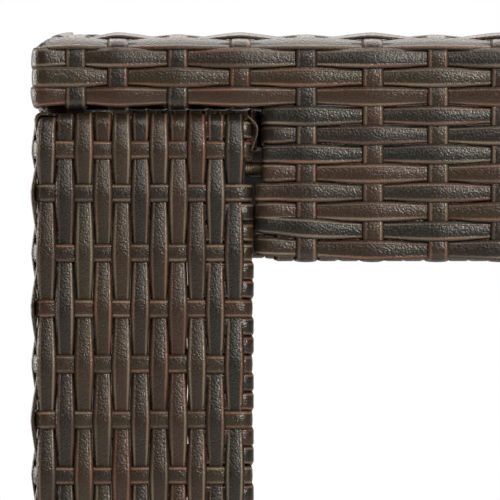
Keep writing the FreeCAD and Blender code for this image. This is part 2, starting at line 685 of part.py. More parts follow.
def side_nodes(side):
    """Pieces of one side of the table, by node name."""
    return {
        f"rim_tube_{side}": rim_tube(side),
        f"apron_rail_{side}": apron_rail(side),
        f"apron_posts_{side}": apron_posts(side),
        f"apron_weave_{side}": apron_weave(side),
        f"foot_rail_{side}": foot_rail(side),
        f"foot_rail_wrap_{side}": foot_rail_wrap(side),
    }


def leg_nodes(corner, pieces):
    """Pieces of one leg, by node name."""
    return {f"leg_{piece}_{corner}": place_corner(shape, corner) for piece, shape in pieces.items()}


def table_nodes():
    """Every piece of the table, by node name."""
    nodes = {}
    for side in SIDE_TURNS:
        nodes.update(side_nodes(side))
    edge_tube = leg_edge_tube()
    pieces = {
        "corner_tube": leg_tube(SKIN_DEPTH),
        "front_tube": edge_tube,
        "side_tube": swapped(edge_tube),
        "rungs": leg_rungs(),
        "weave": leg_weave(),
        "foot": levelling_foot(),
    }
    for corner in CORNERS:
        nodes.update(leg_nodes(corner, pieces))
    for name, place in cross_bar_places().items():
        nodes[f"cross_bar_{name}"] = cross_bar(place)
    cap = tube_end(EDGE_TUBE_START, CAP_PLUG_LENGTH)
    bolt_seat = EDGE_TUBE_START - WASHER_THICKNESS
    nodes["glass_pane"] = glass_pane()
    nodes["glass_pads"] = glass_pads()
    nodes["foot_inserts"] = at_corners([foot_insert()])
    nodes["tube_caps"] = at_corners([cap, swapped(cap)])
    nodes["leg_bolts"] = at_leg_joints(leg_bolt(), bolt_seat, bolt_seat)
    nodes["leg_washers"] = at_leg_joints(washer(), EDGE_TUBE_START, EDGE_TUBE_START)
    nodes["rivet_nuts"] = at_leg_joints(rivet_nut(), POST_START, FOOT_RAIL_INSET)
    return nodes


def main():
    """Write one STEP file for each piece."""
    os.makedirs("parts", exist_ok=True)
    for name, shape in table_nodes().items():
        shape.exportStep(f"parts/{name}.step")


main()
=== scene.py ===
"""Bar table with woven flat-strand skins, set up for a close view of its front left corner.

The strands are worked out in millimetres, in the frame of the part, and scaled to metres for each mesh.
"""

import json
import logging
import math
from collections.abc import Sequence
from dataclasses import dataclass, field
from enum import Enum

import bmesh
import bpy
import numpy as np
from mathutils import Matrix, Vector


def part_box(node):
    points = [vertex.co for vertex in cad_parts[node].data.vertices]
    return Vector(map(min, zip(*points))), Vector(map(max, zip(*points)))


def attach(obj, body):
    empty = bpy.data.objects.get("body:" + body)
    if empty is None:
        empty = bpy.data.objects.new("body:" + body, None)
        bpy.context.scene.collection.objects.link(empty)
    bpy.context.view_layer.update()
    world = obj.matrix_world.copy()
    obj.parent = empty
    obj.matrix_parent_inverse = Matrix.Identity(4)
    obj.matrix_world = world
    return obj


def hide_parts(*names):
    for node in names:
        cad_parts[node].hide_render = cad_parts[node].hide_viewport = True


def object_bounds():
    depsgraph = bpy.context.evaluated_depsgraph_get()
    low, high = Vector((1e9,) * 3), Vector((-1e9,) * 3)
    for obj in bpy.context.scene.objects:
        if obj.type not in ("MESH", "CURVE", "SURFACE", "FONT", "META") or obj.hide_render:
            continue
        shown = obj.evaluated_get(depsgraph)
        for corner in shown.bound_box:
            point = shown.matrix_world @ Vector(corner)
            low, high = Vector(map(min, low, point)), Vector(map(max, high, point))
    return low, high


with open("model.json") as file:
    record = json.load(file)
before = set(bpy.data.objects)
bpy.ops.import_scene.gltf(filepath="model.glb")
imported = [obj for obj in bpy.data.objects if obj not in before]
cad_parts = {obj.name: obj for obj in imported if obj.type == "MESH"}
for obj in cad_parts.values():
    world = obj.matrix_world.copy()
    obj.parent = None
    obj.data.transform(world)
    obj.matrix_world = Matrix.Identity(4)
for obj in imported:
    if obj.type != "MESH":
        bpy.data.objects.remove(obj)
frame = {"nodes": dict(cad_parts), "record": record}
CAD_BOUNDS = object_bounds()
CAD_LOW, CAD_HIGH = CAD_BOUNDS

Colour = tuple[float, float, float]
Span = tuple[float, float, float, float]
Pairs = Sequence[tuple[float, float]]
Axes = tuple[np.ndarray, np.ndarray, np.ndarray]
Piece = bpy.types.Object
Socket = bpy.types.NodeSocket
Value = float | Colour | bpy.types.NodeSocket

LOG = logging.getLogger("bar_table")
MM = 0.001
MERGE_DISTANCE = 1e-7
ROOT_BODY = "table"
STRAND_SLOT = "woven_strand"
BOLT_SLOT = "zinc_steel"
BOLT_HEAD_RADIUS = 5.25
ARC_STEPS = 4
LEAST_TURN = 0.02
LONGEST_CUT = 0.45
STRAIGHTNESS = 0.7
X_AXIS, Y_AXIS, Z_AXIS = np.eye(3)
LEVEL = (X_AXIS, Y_AXIS, Z_AXIS)
UPRIGHT = (Y_AXIS, Z_AXIS, X_AXIS)
STRAND_VALUES = ("across", "along", "tone")
WHITE, BLACK = (1.0, 1.0, 1.0), (0.0, 0.0, 0.0)


class Place(Enum):
    """Named place on the table, whose name ends the names of the nodes there."""

    @property
    def node_end(self) -> str:
        """Ending of the names of this place's nodes."""
        return self.name.lower()

    @property
    def number(self) -> int:
        """Number of this place among its kind, from 0."""
        return list(type(self)).index(self)


class Side(Place):
    """Sides of the table, each with the turn about Z from the front to it, in degrees."""

    FRONT = 0
    RIGHT = 90
    BACK = 180
    LEFT = 270

    @property
    def is_long(self) -> bool:
        """Whether this side runs along the table's length."""
        return self in (Side.FRONT, Side.BACK)


class Corner(Place):
    """Corners of the table, each with the signs that mirror the front left leg to it."""

    FRONT_LEFT = (1, 1)
    FRONT_RIGHT = (-1, 1)
    BACK_LEFT = (1, -1)
    BACK_RIGHT = (-1, -1)


@dataclass(frozen=True)
class Space:
    """Box that a CAD node fills at rest, in millimetres."""

    low: Vector
    high: Vector

    @classmethod
    def of(cls, node: str) -> "Space":
        """Box of the CAD node with that name."""
        low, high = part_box(node)
        return cls(low / MM, high / MM)

    @property
    def size(self) -> Vector:
        """Lengths of the box along X, Y and Z."""
        return self.high - self.low


def bolt_heights() -> tuple[float, float]:
    """Heights of the axes of the lower and the upper bolts."""
    bolts = Space.of("leg_bolts")
    return bolts.low.z + BOLT_HEAD_RADIUS, bolts.high.z - BOLT_HEAD_RADIUS


@dataclass(frozen=True)
class Section:
    """Closed outline of a flat strand, in shares of its width and thickness."""

    sides: tuple[float, ...]
    rises: tuple[float, ...]

    @property
    def loop(self) -> tuple[np.ndarray, np.ndarray]:
        """Outline with its first point repeated at the end."""
        return np.array(self.sides + self.sides[:1]), np.array(self.rises + self.rises[:1])


FULL_SECTION = Section(
    sides=(-0.5, -0.46, -0.3, 0.0, 0.3, 0.46, 0.5, 0.44, -0.44),
    rises=(-0.2, 0.2, 0.42, 0.5, 0.42, 0.2, -0.2, -0.5, -0.5),
)
PLAIN_SECTION = Section(
    sides=(-0.5, -0.32, 0.32, 0.5, 0.36, -0.36),
    rises=(0.0, 0.5, 0.5, 0.0, -0.5, -0.5),
)


@dataclass(frozen=True)
class StrandKind:
    """Size of one kind of strand and how it lies in the weave, in millimetres.

    The lift is how far it goes over or under at a crossing, and the narrowing is the share of its width that
    it loses below one. The wander is its drift to both sides, the step the length of its faces, and the fade
    the distance beyond its end crossings over which it levels out. The strong edge has the stronger line.
    """

    width: float
    thickness: float = 1.6
    lift: float = 0.0
    narrowing: float = 0.0
    wander: float = 0.0
    step: float = 3.0
    fade: float = 12.0
    section: Section = FULL_SECTION
    strong_edge: int = 1

    def widths(self, heights: np.ndarray) -> np.ndarray:
        """Widths at points with those height shares."""
        return self.width * (1 - self.narrowing * (1 - heights) / 2)


def rounded_corner(before: np.ndarray, corner: np.ndarray, after: np.ndarray, radius: float) -> np.ndarray:
    """Points of the arc that replaces one corner of a path.

    Args:
        before: Point before the corner.
        corner: The corner itself.
        after: Point after the corner.
        radius: Wanted radius, less where the runs are short.

    Returns:
        Points from the arc's start to its end.
    """
    back, ahead = before - corner, after - corner
    back_length, ahead_length = np.linalg.norm(back), np.linalg.norm(ahead)
    back, ahead = back / back_length, ahead / ahead_length
    half = 0.5 * math.acos(float(np.clip(back @ ahead, -1.0, 1.0)))
    turn = math.pi - 2 * half
    if turn < LEAST_TURN:
        return corner[None, :]
    cut = min(radius / math.tan(half), LONGEST_CUT * back_length, LONGEST_CUT * ahead_length)
    centre = corner + (back + ahead) / np.linalg.norm(back + ahead) * cut / math.cos(half)
    first, last = corner + back * cut - centre, corner + ahead * cut - centre
    share = np.linspace(0.0, 1.0, ARC_STEPS + 1)[:, None]
    return centre + (np.sin((1 - share) * turn) * first + np.sin(share * turn) * last) / math.sin(turn)


@dataclass(frozen=True)
class Course:
    """Flat path of a strand in its own plane, with the way that it faces and the distance along it."""

    points: np.ndarray
    facing: np.ndarray
    reach: np.ndarray

    @classmethod
    def through(cls, corners: Pairs, radius: float, step: float, closed: bool = False) -> "Course":
        """Course of straight runs with round corners, facing to the left of its direction.

        Args:
            corners: Ends and corners of the path.
            radius: Radius of its corners.
            step: Longest distance between points on a straight run.
            closed: Whether the path comes back to its start.

        Returns:
            The course.
        """
        places = [np.array(corner, float) for corner in corners]
        stops: list[np.ndarray] = []
        for index, place in enumerate(places):
            if not closed and index in (0, len(places) - 1):
                stops.append(place[None, :])
            else:
                after = places[(index + 1) % len(places)]
                stops.append(rounded_corner(places[index - 1], place, after, radius))
        if closed:
            stops.append(stops[0][:1])
        outline = np.vstack(stops)
        runs = [outline[:1]]
        for start, end in zip(outline, outline[1:]):
            parts = max(1, math.ceil(np.linalg.norm(end - start) / step))
            runs.append(start + (end - start) * np.linspace(0, 1, parts + 1)[1:, None])
        points = np.vstack(runs)
        ahead = np.gradient(points, axis=0)
        if closed:
            ahead[0] = ahead[-1] = points[1] - points[-2]
        ahead /= np.linalg.norm(ahead, axis=1)[:, None]
        lengths = np.linalg.norm(np.diff(points, axis=0), axis=1)
        return cls(points, np.column_stack((-ahead[:, 1], ahead[:, 0])), np.append(0.0, np.cumsum(lengths)))

    def station(self, place: Sequence[float]) -> float:
        """Distance along the course of the point nearest to a place.

        Args:
            place: Place in the course's plane.

        Returns:
            The distance from the course's start.
        """
        start, run = self.points[:-1], np.diff(self.points, axis=0)
        share = np.clip(((np.array(place) - start) * run).sum(axis=1) / (run**2).sum(axis=1), 0.0, 1.0)
        nearest = int(np.argmin(np.linalg.norm(start + run * share[:, None] - np.array(place), axis=1)))
        return float(self.reach[nearest] + share[nearest] * (self.reach[nearest + 1] - self.reach[nearest]))


def over_under(count: int) -> float:
    """Height share at a crossing: 1, above, for an even count and -1, below, for an odd one."""
    return 1.0 if count % 2 == 0 else -1.0


def undulation(reach: np.ndarray, crossings: Pairs, fade: float) -> np.ndarray:
    """Rise and fall of a strand that passes over and under others.

    Args:
        reach: Distances along the strand.
        crossings: Distance and height share of each crossing, 1 above and -1 below.
        fade: Distance beyond the end crossings over which the strand levels out.

    Returns:
        Height share at each distance.
    """
    ordered = sorted(crossings)
    ends = (ordered[0][0] - fade, 0.0), (ordered[-1][0] + fade, 0.0)
    places, heights = np.array([ends[0], *ordered, ends[1]]).T
    slot = np.clip(np.searchsorted(places, reach) - 1, 0, len(places) - 2)
    share = np.clip((reach - places[slot]) / (places[slot + 1] - places[slot]), 0.0, 1.0)
    eased = STRAIGHTNESS * share + (1 - STRAIGHTNESS) * (1 - np.cos(np.pi * share)) / 2
    return heights[slot] + (heights[slot + 1] - heights[slot]) * eased


@dataclass
class StrandBundle:
    """Strands laid into one mesh, each a closed flat tube with its own tone."""

    name: str
    seed: int
    wander_waves: tuple[float, ...] = (53.0, 131.0, 290.0)
    longest_start: float = 500.0
    strands: dict[Section, list[np.ndarray]] = field(default_factory=dict)

    def __post_init__(self) -> None:
        """Start the bundle's own seeded chance."""
        self.chance = np.random.default_rng(self.seed)

    def lay(
        self, kind: StrandKind, spine: np.ndarray, face: np.ndarray, edge: np.ndarray, widths: np.ndarray
    ) -> None:
        """Lay one strand along a spine.

        Args:
            kind: Kind of strand.
            spine: Middle line of the strand.
            face: Way that the strand faces at each point of its spine.
            edge: Way across the strand at each point.
            widths: Width of the strand at each point.
        """
        sides, rises = kind.section.loop
        if np.dot(np.cross(spine[1] - spine[0], face[0]), edge[0]) < 0:
            edge = -edge
        across = edge[:, None, :] * (widths[:, None] * sides)[:, :, None]
        skin = spine[:, None, :] + across + face[:, None, :] * (kind.thickness * rises)[None, :, None]
        reach = np.append(0.0, np.cumsum(np.linalg.norm(np.diff(spine, axis=0), axis=1)))
        values = np.empty((len(spine), len(sides), len(STRAND_VALUES)))
        values[:, :, 0] = 2 * sides * kind.strong_edge
        values[:, :, 1] = reach[:, None] + self.chance.random() * self.longest_start
        values[:, :, 2] = self.chance.random()
        self.strands.setdefault(kind.section, []).append(np.concatenate((skin * MM, values), axis=2))

    def follow(
        self, kind: StrandKind, course: Course, axes: Axes, place: float | np.ndarray, crossings: Pairs = ()
    ) -> None:
        """Lay one strand along a flat course.

        Args:
            kind: Kind of strand.
            course: Path of the strand.
            axes: First and second axis of the course's plane, and the axis across it.
            place: Place of the course along the axis across it.
            crossings: Distance and height share of each crossing.
        """
        first, second, across = axes
        flat = np.zeros(len(course.reach))
        heights = undulation(course.reach, crossings, kind.fade) if crossings else flat
        points = course.points + course.facing * (kind.lift * heights)[:, None]
        places = flat + place + (self.drift(course.reach, kind.wander) if kind.wander else 0.0)
        spine = points[:, :1] * first + points[:, 1:] * second + places[:, None] * across
        face = course.facing[:, :1] * first + course.facing[:, 1:] * second
        self.lay(kind, spine, face, np.tile(across, (len(points), 1)), kind.widths(heights))

    def drift(self, reach: np.ndarray, size: float) -> np.ndarray:
        """Slow wander of a strand to both sides.

        Args:
            reach: Distances along the strand.
            size: Largest wander.

        Returns:
            Wander at each distance.
        """
        total = np.zeros(len(reach))
        for wave in self.wander_waves:
            total += np.sin(reach / wave * 2 * np.pi + self.chance.random() * 2 * np.pi)
        return total * size / len(self.wander_waves)

    def finish(self, turn: Matrix | None = None) -> Piece:
        """Shape and close the strands and make the object.

        Args:
            turn: Change of place of the whole bundle.

        Returns:
            The new object, which rides on the table.
        """
        mesh = bmesh.new()
        for section, strands in self.strands.items():
            self.cut_grid(mesh, len(section.sides), [len(strand) for strand in strands])
        data = bpy.data.meshes.new(self.name)
        mesh.to_mesh(data)
        mesh.clear()
        laid = [strand for strands in self.strands.values() for strand in strands]
        rows = np.vstack([strand.reshape(-1, strand.shape[2]) for strand in laid])
        data.vertices.foreach_set("co", rows[:, :3].ravel())
        for name, values in zip(STRAND_VALUES, rows[:, 3:].T):
            data.attributes.new(name, "FLOAT", "POINT").data.foreach_set("value", values)
        mesh.from_mesh(data)
        bmesh.ops.remove_doubles(mesh, verts=mesh.verts, dist=MERGE_DISTANCE)
        rims = [edge for edge in mesh.edges if edge.is_boundary]
        bmesh.ops.holes_fill(mesh, edges=rims, sides=len(FULL_SECTION.sides))
        if turn is not None:
            bmesh.ops.transform(mesh, matrix=turn, verts=mesh.verts)
            if turn.determinant() < 0:
                bmesh.ops.reverse_faces(mesh, faces=mesh.faces)
        mesh.to_mesh(data)
        mesh.free()
        return new_piece(data)

    @staticmethod
    def cut_grid(mesh: bmesh.types.BMesh, sides: int, lengths: Sequence[int]) -> None:
        """Add a grid that holds one strip for each strand, cut apart between the strands.

        Args:
            mesh: Mesh that takes the grid.
            sides: Number of sides of the strands' section.
            lengths: Number of points along each strand.
        """
        made = bmesh.ops.create_grid(mesh, x_segments=sides, y_segments=sum(lengths) - 1, size=1.0)["verts"]
        columns = sides + 1
        cuts = []
        for row in np.cumsum(lengths)[:-1]:
            for after in range(int(row) * columns, (int(row) + 1) * columns):
                cuts.append(mesh.edges.get((made[after - columns], made[after])))
        bmesh.ops.delete(mesh, geom=cuts, context="EDGES")


def new_piece(data: bpy.types.Mesh) -> Piece:
    """Make a smooth object of a finished mesh and let it ride on the table.

    Args:
        data: The mesh.

    Returns:
        The new object, with the mesh's name.
    """
    data.polygons.foreach_set("use_smooth", np.ones(len(data.polygons), bool))
    piece = bpy.data.objects.new(data.name, data)
    bpy.context.scene.collection.objects.link(piece)
    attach(piece, ROOT_BODY)
    return piece


class NodeSheet:
    """Short way to add and link shader nodes of one material or world."""

    def __init__(self, tree: bpy.types.NodeTree) -> None:
        """Start from an empty tree."""
        tree.nodes.clear()
        self.tree = tree

    def add(self, kind: str, inputs: dict[str, Value] | None = None, **settings: str) -> bpy.types.Node:
        """Add a node.

        Args:
            kind: Blender's name of the node type.
            inputs: What its inputs are linked or set to, by name.
            settings: Attributes to set on the node.

        Returns:
            The new node.
        """
        node = self.tree.nodes.new(kind)
        for name, setting in settings.items():
            setattr(node, name, setting)
        for name, value in (inputs or {}).items():
            self.feed(value, node.inputs[name])
        return node

    def feed(self, value: Value, socket: Socket) -> None:
        """Link an output to an input, or set the input.

        Args:
            value: The output, or a number or colour.
            socket: The input.
        """
        if isinstance(value, Socket):
            self.tree.links.new(value, socket)
        else:
            socket.default_value = (*value, 1.0) if isinstance(value, tuple) else value

    def math(self, operation: str, *values: Value) -> Socket:
        """Add a math node.

        Args:
            operation: Blender's name of the operation.
            values: Its inputs, as numbers or outputs.

        Returns:
            Its output.
        """
        node = self.add("ShaderNodeMath", operation=operation)
        for socket, value in zip(node.inputs, values):
            self.feed(value, socket)
        return node.outputs[0]

    def total(self, *parts: tuple[Socket, float]) -> Value:
        """Sum of values.

        Args:
            parts: Each value with its weight.

        Returns:
            The sum.
        """
        result: Value = 0.0
        for value, weight in parts:
            result = self.math("MULTIPLY_ADD", value, weight, result)
        return result

    def rays(self, *kinds: str) -> Value:
        """Whether a ray of light is of one of some kinds.

        Args:
            kinds: Blender's names of the kinds.

        Returns:
            1 for such a ray and 0 for others.
        """
        path = self.add("ShaderNodeLightPath")
        result: Value = 0.0
        for kind in kinds:
            result = self.math("MAXIMUM", result, path.outputs[f"Is {kind} Ray"])
        return result

    def attribute(self, name: str) -> Socket:
        """Value of a mesh attribute."""
        return self.add("ShaderNodeAttribute", attribute_name=name).outputs["Fac"]

    def coordinates(self, name: str = "Object") -> Socket:
        """Texture coordinates of that name."""
        return self.add("ShaderNodeTexCoord").outputs[name]

    def scaled(self, values: Sequence[Socket], scales: Sequence[float]) -> Socket:
        """Make a vector of up to three values.

        Args:
            values: The values.
            scales: Scale of each.

        Returns:
            The vector.
        """
        vector = self.add("ShaderNodeCombineXYZ")
        for socket, value, scale in zip(vector.inputs, values, scales):
            self.feed(self.math("MULTIPLY", value, scale), socket)
        return vector.outputs[0]

    def noise(
        self, place: Socket, scale: float, detail: float, rough: float = 0.5, output: str = "Fac"
    ) -> Socket:
        """Add a noise texture.

        Args:
            place: Coordinates that it reads.
            scale: Its scale.
            detail: Its detail.
            rough: Its roughness.
            output: Name of the output to use.

        Returns:
            That output.
        """
        inputs = {"Vector": place, "Scale": scale, "Detail": detail, "Roughness": rough}
        return self.add("ShaderNodeTexNoise", inputs).outputs[output]

    def ramp(self, value: Socket, stops: Sequence[tuple[float, Colour]]) -> Socket:
        """Add a colour ramp.

        Args:
            value: Value that it reads.
            stops: Position and colour of each stop.

        Returns:
            Its colour.
        """
        node = self.add("ShaderNodeValToRGB", {"Fac": value})
        elements = node.color_ramp.elements
        for position, _ in stops[2:]:
            elements.new(position)
        for element, (position, colour) in zip(elements, stops):
            element.position = position
            element.color = (*colour, 1.0)
        return node.outputs["Color"]

    def spread(self, value: Socket, *span: float) -> Socket:
        """Map a value from one span to another, held at the ends.

        Args:
            value: Value to map.
            span: Lowest and highest value, then what they become.

        Returns:
            The mapped value.
        """
        inputs = dict(zip(("Value", "From Min", "From Max", "To Min", "To Max"), (value, *span)))
        return self.add("ShaderNodeMapRange", inputs, interpolation_type="SMOOTHSTEP").outputs["Result"]

    def blend(self, share: Socket, low: Value, high: Value) -> Socket:
        """Mix two colours.

        Args:
            share: Share of the second colour.
            low: First colour.
            high: Second colour.

        Returns:
            The mixed colour.
        """
        node = self.add("ShaderNodeMix", {"Factor": share}, data_type="RGBA")
        for socket, colour in zip((end for end in node.inputs if end.type == "RGBA"), (low, high)):
            self.feed(colour, socket)
        return next(end for end in node.outputs if end.type == "RGBA")

    def bump(self, height: Value, strength: float, depth: float) -> Socket:
        """Bumped normal for a height, with its strength and its depth in metres."""
        inputs = {"Height": height, "Strength": strength, "Distance": depth}
        return self.add("ShaderNodeBump", inputs).outputs["Normal"]

    def surface(self, inputs: dict[str, Value]) -> None:
        """Add a principled shader with those inputs and make it the material's surface."""
        shader = self.add("ShaderNodeBsdfPrincipled", inputs)
        self.add("ShaderNodeOutputMaterial", {"Surface": shader.outputs[0]})


def new_material(name: str) -> tuple[bpy.types.Material, NodeSheet]:
    """Make an empty node material.

    Args:
        name: Its name.

    Returns:
        The material and its node sheet.
    """
    material = bpy.data.materials.new(name)
    material.use_nodes = True
    return material, NodeSheet(material.node_tree)


@dataclass(frozen=True)
class StrandFinish:
    """Extruded flat strand: dark tones, soft lighter lines near both edges and a wrinkled grain.

    The scales are of a strand's own values, and a noise is its scale, its detail and, where it is set, its
    roughness. A span is two values of a noise and what they become.
    """

    name: str = STRAND_SLOT
    green_black: Colour = (0.009, 0.0095, 0.0072)
    charcoal: Colour = (0.012, 0.0103, 0.009)
    umber: Colour = (0.0225, 0.0125, 0.0068)
    olive: Colour = (0.0255, 0.018, 0.008)
    russet: Colour = (0.0315, 0.0155, 0.0082)
    copper: Colour = (0.17, 0.071, 0.041)
    tan: Colour = (0.168, 0.120, 0.074)
    first_stop: float = 0.24
    stop_pitch: float = 0.16
    tone_weight: float = 0.75
    drift_weight: float = 0.5
    drift_scales: tuple[float, float] = (0.012, 97.0)
    drift_noise: tuple[float, float] = (1.0, 1.0)
    streak_scales: tuple[float, float, float] = (2.6, 0.014, 61.0)
    streak_noise: tuple[float, float, float] = (2.1, 4.0, 0.6)
    streak_span: Span = (0.4, 0.75, 0.0, 0.4)
    line_place: float = 0.71
    line_half_width: float = 0.21
    fading_scales: tuple[float, float] = (0.021, 43.0)
    fading_noise: tuple[float, float] = (1.0, 2.0)
    strong_span: Span = (0.35, 0.6, 0.35, 1.0)
    weak_span: Span = (0.4, 0.65, 0.25, 0.8)
    line_colour_span: Span = (0.38, 0.62, 0.0, 1.0)
    grain_size: float = 0.85 * MM
    grain_detail: float = 1.0
    grain_roughness: float = 0.4
    relief: float = 0.12 * MM
    ridge_height: float = 0.9
    grain_height: float = 1.8
    streak_height: float = 0.2
    specular: float = 0.42
    sheen_tint: Colour = (1.0, 0.93, 0.84)
    roughness_span: Span = (0.35, 0.65, 0.28, 0.38)

    def material(self) -> bpy.types.Material:
        """Make the strand's material.

        Returns:
            The material, which reads the strands' own values.
        """
        made, sheet = new_material(self.name)
        across, along, tone = (sheet.attribute(name) for name in STRAND_VALUES)
        streak = sheet.noise(sheet.scaled((across, along, tone), self.streak_scales), *self.streak_noise)
        grain = sheet.noise(sheet.coordinates(), 1 / self.grain_size, self.grain_detail, self.grain_roughness)
        strong, weak = (self.ridge(sheet, across, side) for side in (1, -1))
        fading = sheet.scaled((along, tone), self.fading_scales)
        fading = sheet.noise(fading, *self.fading_noise, output="Color")
        fades = sheet.add("ShaderNodeSeparateColor", {"Color": fading}).outputs
        strong_line = sheet.math("MULTIPLY", strong, sheet.spread(fades[0], *self.strong_span))
        weak_line = sheet.math("MULTIPLY", weak, sheet.spread(fades[1], *self.weak_span))
        line_colour = sheet.blend(sheet.spread(fades[2], *self.line_colour_span), self.copper, self.tan)
        base = self.base_colour(sheet, along, tone, streak)
        ridges = ((strong, self.ridge_height), (weak, self.ridge_height))
        height = sheet.total(*ridges, (grain, self.grain_height), (streak, self.streak_height))
        sheet.surface({
            "Base Color": sheet.blend(sheet.math("ADD", strong_line, weak_line), base, line_colour),
            "Roughness": sheet.spread(grain, *self.roughness_span),
            "Specular IOR Level": self.specular,
            "Specular Tint": self.sheen_tint,
            "Normal": sheet.bump(height, 1.0, self.relief),
        })
        return made

    def base_colour(self, sheet: NodeSheet, along: Socket, tone: Socket, streak: Socket) -> Socket:
        """Dark colour of a strand, which drifts along it and has streaks.

        Args:
            sheet: Node sheet of the material.
            along: Place along the strand.
            tone: Tone of the strand.
            streak: Noise of the streaks.

        Returns:
            The colour.
        """
        drift = sheet.noise(sheet.scaled((along, tone), self.drift_scales), *self.drift_noise)
        shade = sheet.total((tone, self.tone_weight), (drift, self.drift_weight))
        tones = (self.green_black, self.charcoal, self.umber, self.olive, self.russet)
        stops = [(self.first_stop + self.stop_pitch * index, colour) for index, colour in enumerate(tones)]
        return sheet.blend(sheet.spread(streak, *self.streak_span), sheet.ramp(shade, stops), self.umber)

    def ridge(self, sheet: NodeSheet, across: Socket, side: int) -> Socket:
        """Soft profile of the ridge near one edge: side 1 has the stronger line, and side -1 the other."""
        off_line = sheet.math("ABSOLUTE", sheet.math("SUBTRACT", across, side * self.line_place))
        return sheet.spread(off_line, 0.0, self.line_half_width, 1.0, 0.0)


@dataclass(frozen=True)
class GrainedFinish:
    """Plain solid colour with a fine grain in its colour, gloss and surface."""

    name: str
    colour: Colour
    fleck: Colour
    grain_size: float
    roughness: tuple[float, float]
    bump_depth: float
    metallic: float = 0.0
    cloud_scale: float = 12.0
    detail: float = 3.0
    mixed_range: tuple[float, float] = (0.35, 0.65)
    bump_strength: float = 0.4

    def material(self) -> bpy.types.Material:
        """Make the material.

        Returns:
            The material.
        """
        made, sheet = new_material(self.name)
        place = sheet.coordinates()
        grain = sheet.noise(place, 1 / self.grain_size, self.detail)
        cloud = sheet.noise(place, self.cloud_scale, self.detail)
        mixed = sheet.total((grain, 0.5), (cloud, 0.5))
        share = sheet.spread(mixed, *self.mixed_range, 0.0, 1.0)
        sheet.surface({
            "Base Color": sheet.blend(share, self.colour, self.fleck),
            "Roughness": sheet.spread(mixed, *self.mixed_range, *self.roughness),
            "Metallic": self.metallic,
            "Normal": sheet.bump(grain, self.bump_strength, self.bump_depth),
        })
        return made


@dataclass(frozen=True)
class GlassFinish:
    """Lightly smoked toughened glass with faint wipe marks in its gloss."""

    name: str = "smoked_glass"
    tint: Colour = (0.16, 0.165, 0.165)
    refraction: float = 1.5
    marks_noise: tuple[float, float] = (9.0, 5.0)
    roughness_span: Span = (0.4, 0.7, 0.01, 0.05)

    def material(self) -> bpy.types.Material:
        """Make the material.

        Returns:
            The material.
        """
        made, sheet = new_material(self.name)
        marks = sheet.noise(sheet.coordinates(), *self.marks_noise)
        sheet.surface({
            "Base Color": self.tint,
            "Transmission Weight": 1.0,
            "IOR": self.refraction,
            "Roughness": sheet.spread(marks, *self.roughness_span),
        })
        return made


POWDER_COAT = GrainedFinish(
    name="black_powder_coat",
    colour=(0.012, 0.012, 0.012),
    fleck=(0.02, 0.02, 0.019),
    grain_size=0.6 * MM,
    roughness=(0.5, 0.62),
    bump_depth=0.02 * MM,
)
# Yellow zinc hue, darkened well below real plating as painted shade: the threads sit in the dark gaps between
# the legs and the aprons.
ZINC_DARKENED_AS_SHADE = GrainedFinish(
    name=BOLT_SLOT,
    colour=(0.22, 0.15, 0.08),
    fleck=(0.15, 0.11, 0.07),
    grain_size=0.4 * MM,
    roughness=(0.38, 0.52),
    bump_depth=0.01 * MM,
    metallic=1.0,
)
SOFT_PAD = GrainedFinish(
    name="soft_pad",
    colour=(0.42, 0.42, 0.41),
    fleck=(0.5, 0.5, 0.49),
    grain_size=0.8 * MM,
    roughness=(0.45, 0.6),
    bump_depth=0.02 * MM,
)
MOULDED_PLASTIC = GrainedFinish(
    name="black_plastic",
    colour=(0.02, 0.02, 0.02),
    fleck=(0.03, 0.03, 0.03),
    grain_size=0.5 * MM,
    roughness=(0.5, 0.62),
    bump_depth=0.02 * MM,
)


class Finishes:
    """All finishes of the table, by the record's material slot."""

    def __init__(self) -> None:
        """Make every material once."""
        kinds = (StrandFinish(), POWDER_COAT, ZINC_DARKENED_AS_SHADE, GlassFinish(), SOFT_PAD, MOULDED_PLASTIC)
        self.by_slot = {kind.name: kind.material() for kind in kinds}

    def dress(self, piece: Piece, slot: str) -> None:
        """Give a new piece the finish of a slot of the record."""
        piece.data.materials.append(self.by_slot[slot])

    def dress_cad(self) -> None:
        """Give every CAD node the finish of its slot."""
        slots = {entry["node"]: entry["material_slot"] for entry in frame["record"]["subparts"]}
        for node, piece in frame["nodes"].items():
            piece.data.materials.clear()
            piece.data.materials.append(self.by_slot[slots[node]])


@dataclass
class WovenSkin:
    """Skin of woven or wound strand on some part of the table."""

    finishes: Finishes

    def piece(self, bundle: StrandBundle, turn: Matrix | None = None, replaced: Sequence[str] = ()) -> Piece:
        """Make a dressed piece of a bundle.

        Args:
            bundle: The bundle, with all its strands.
            turn: Change of place of the bundle.
            replaced: CAD nodes that the piece stands for.

        Returns:
            The piece.
        """
        made = bundle.finish(turn)
        self.finishes.dress(made, STRAND_SLOT)
        if replaced:
            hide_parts(*replaced)
        return made


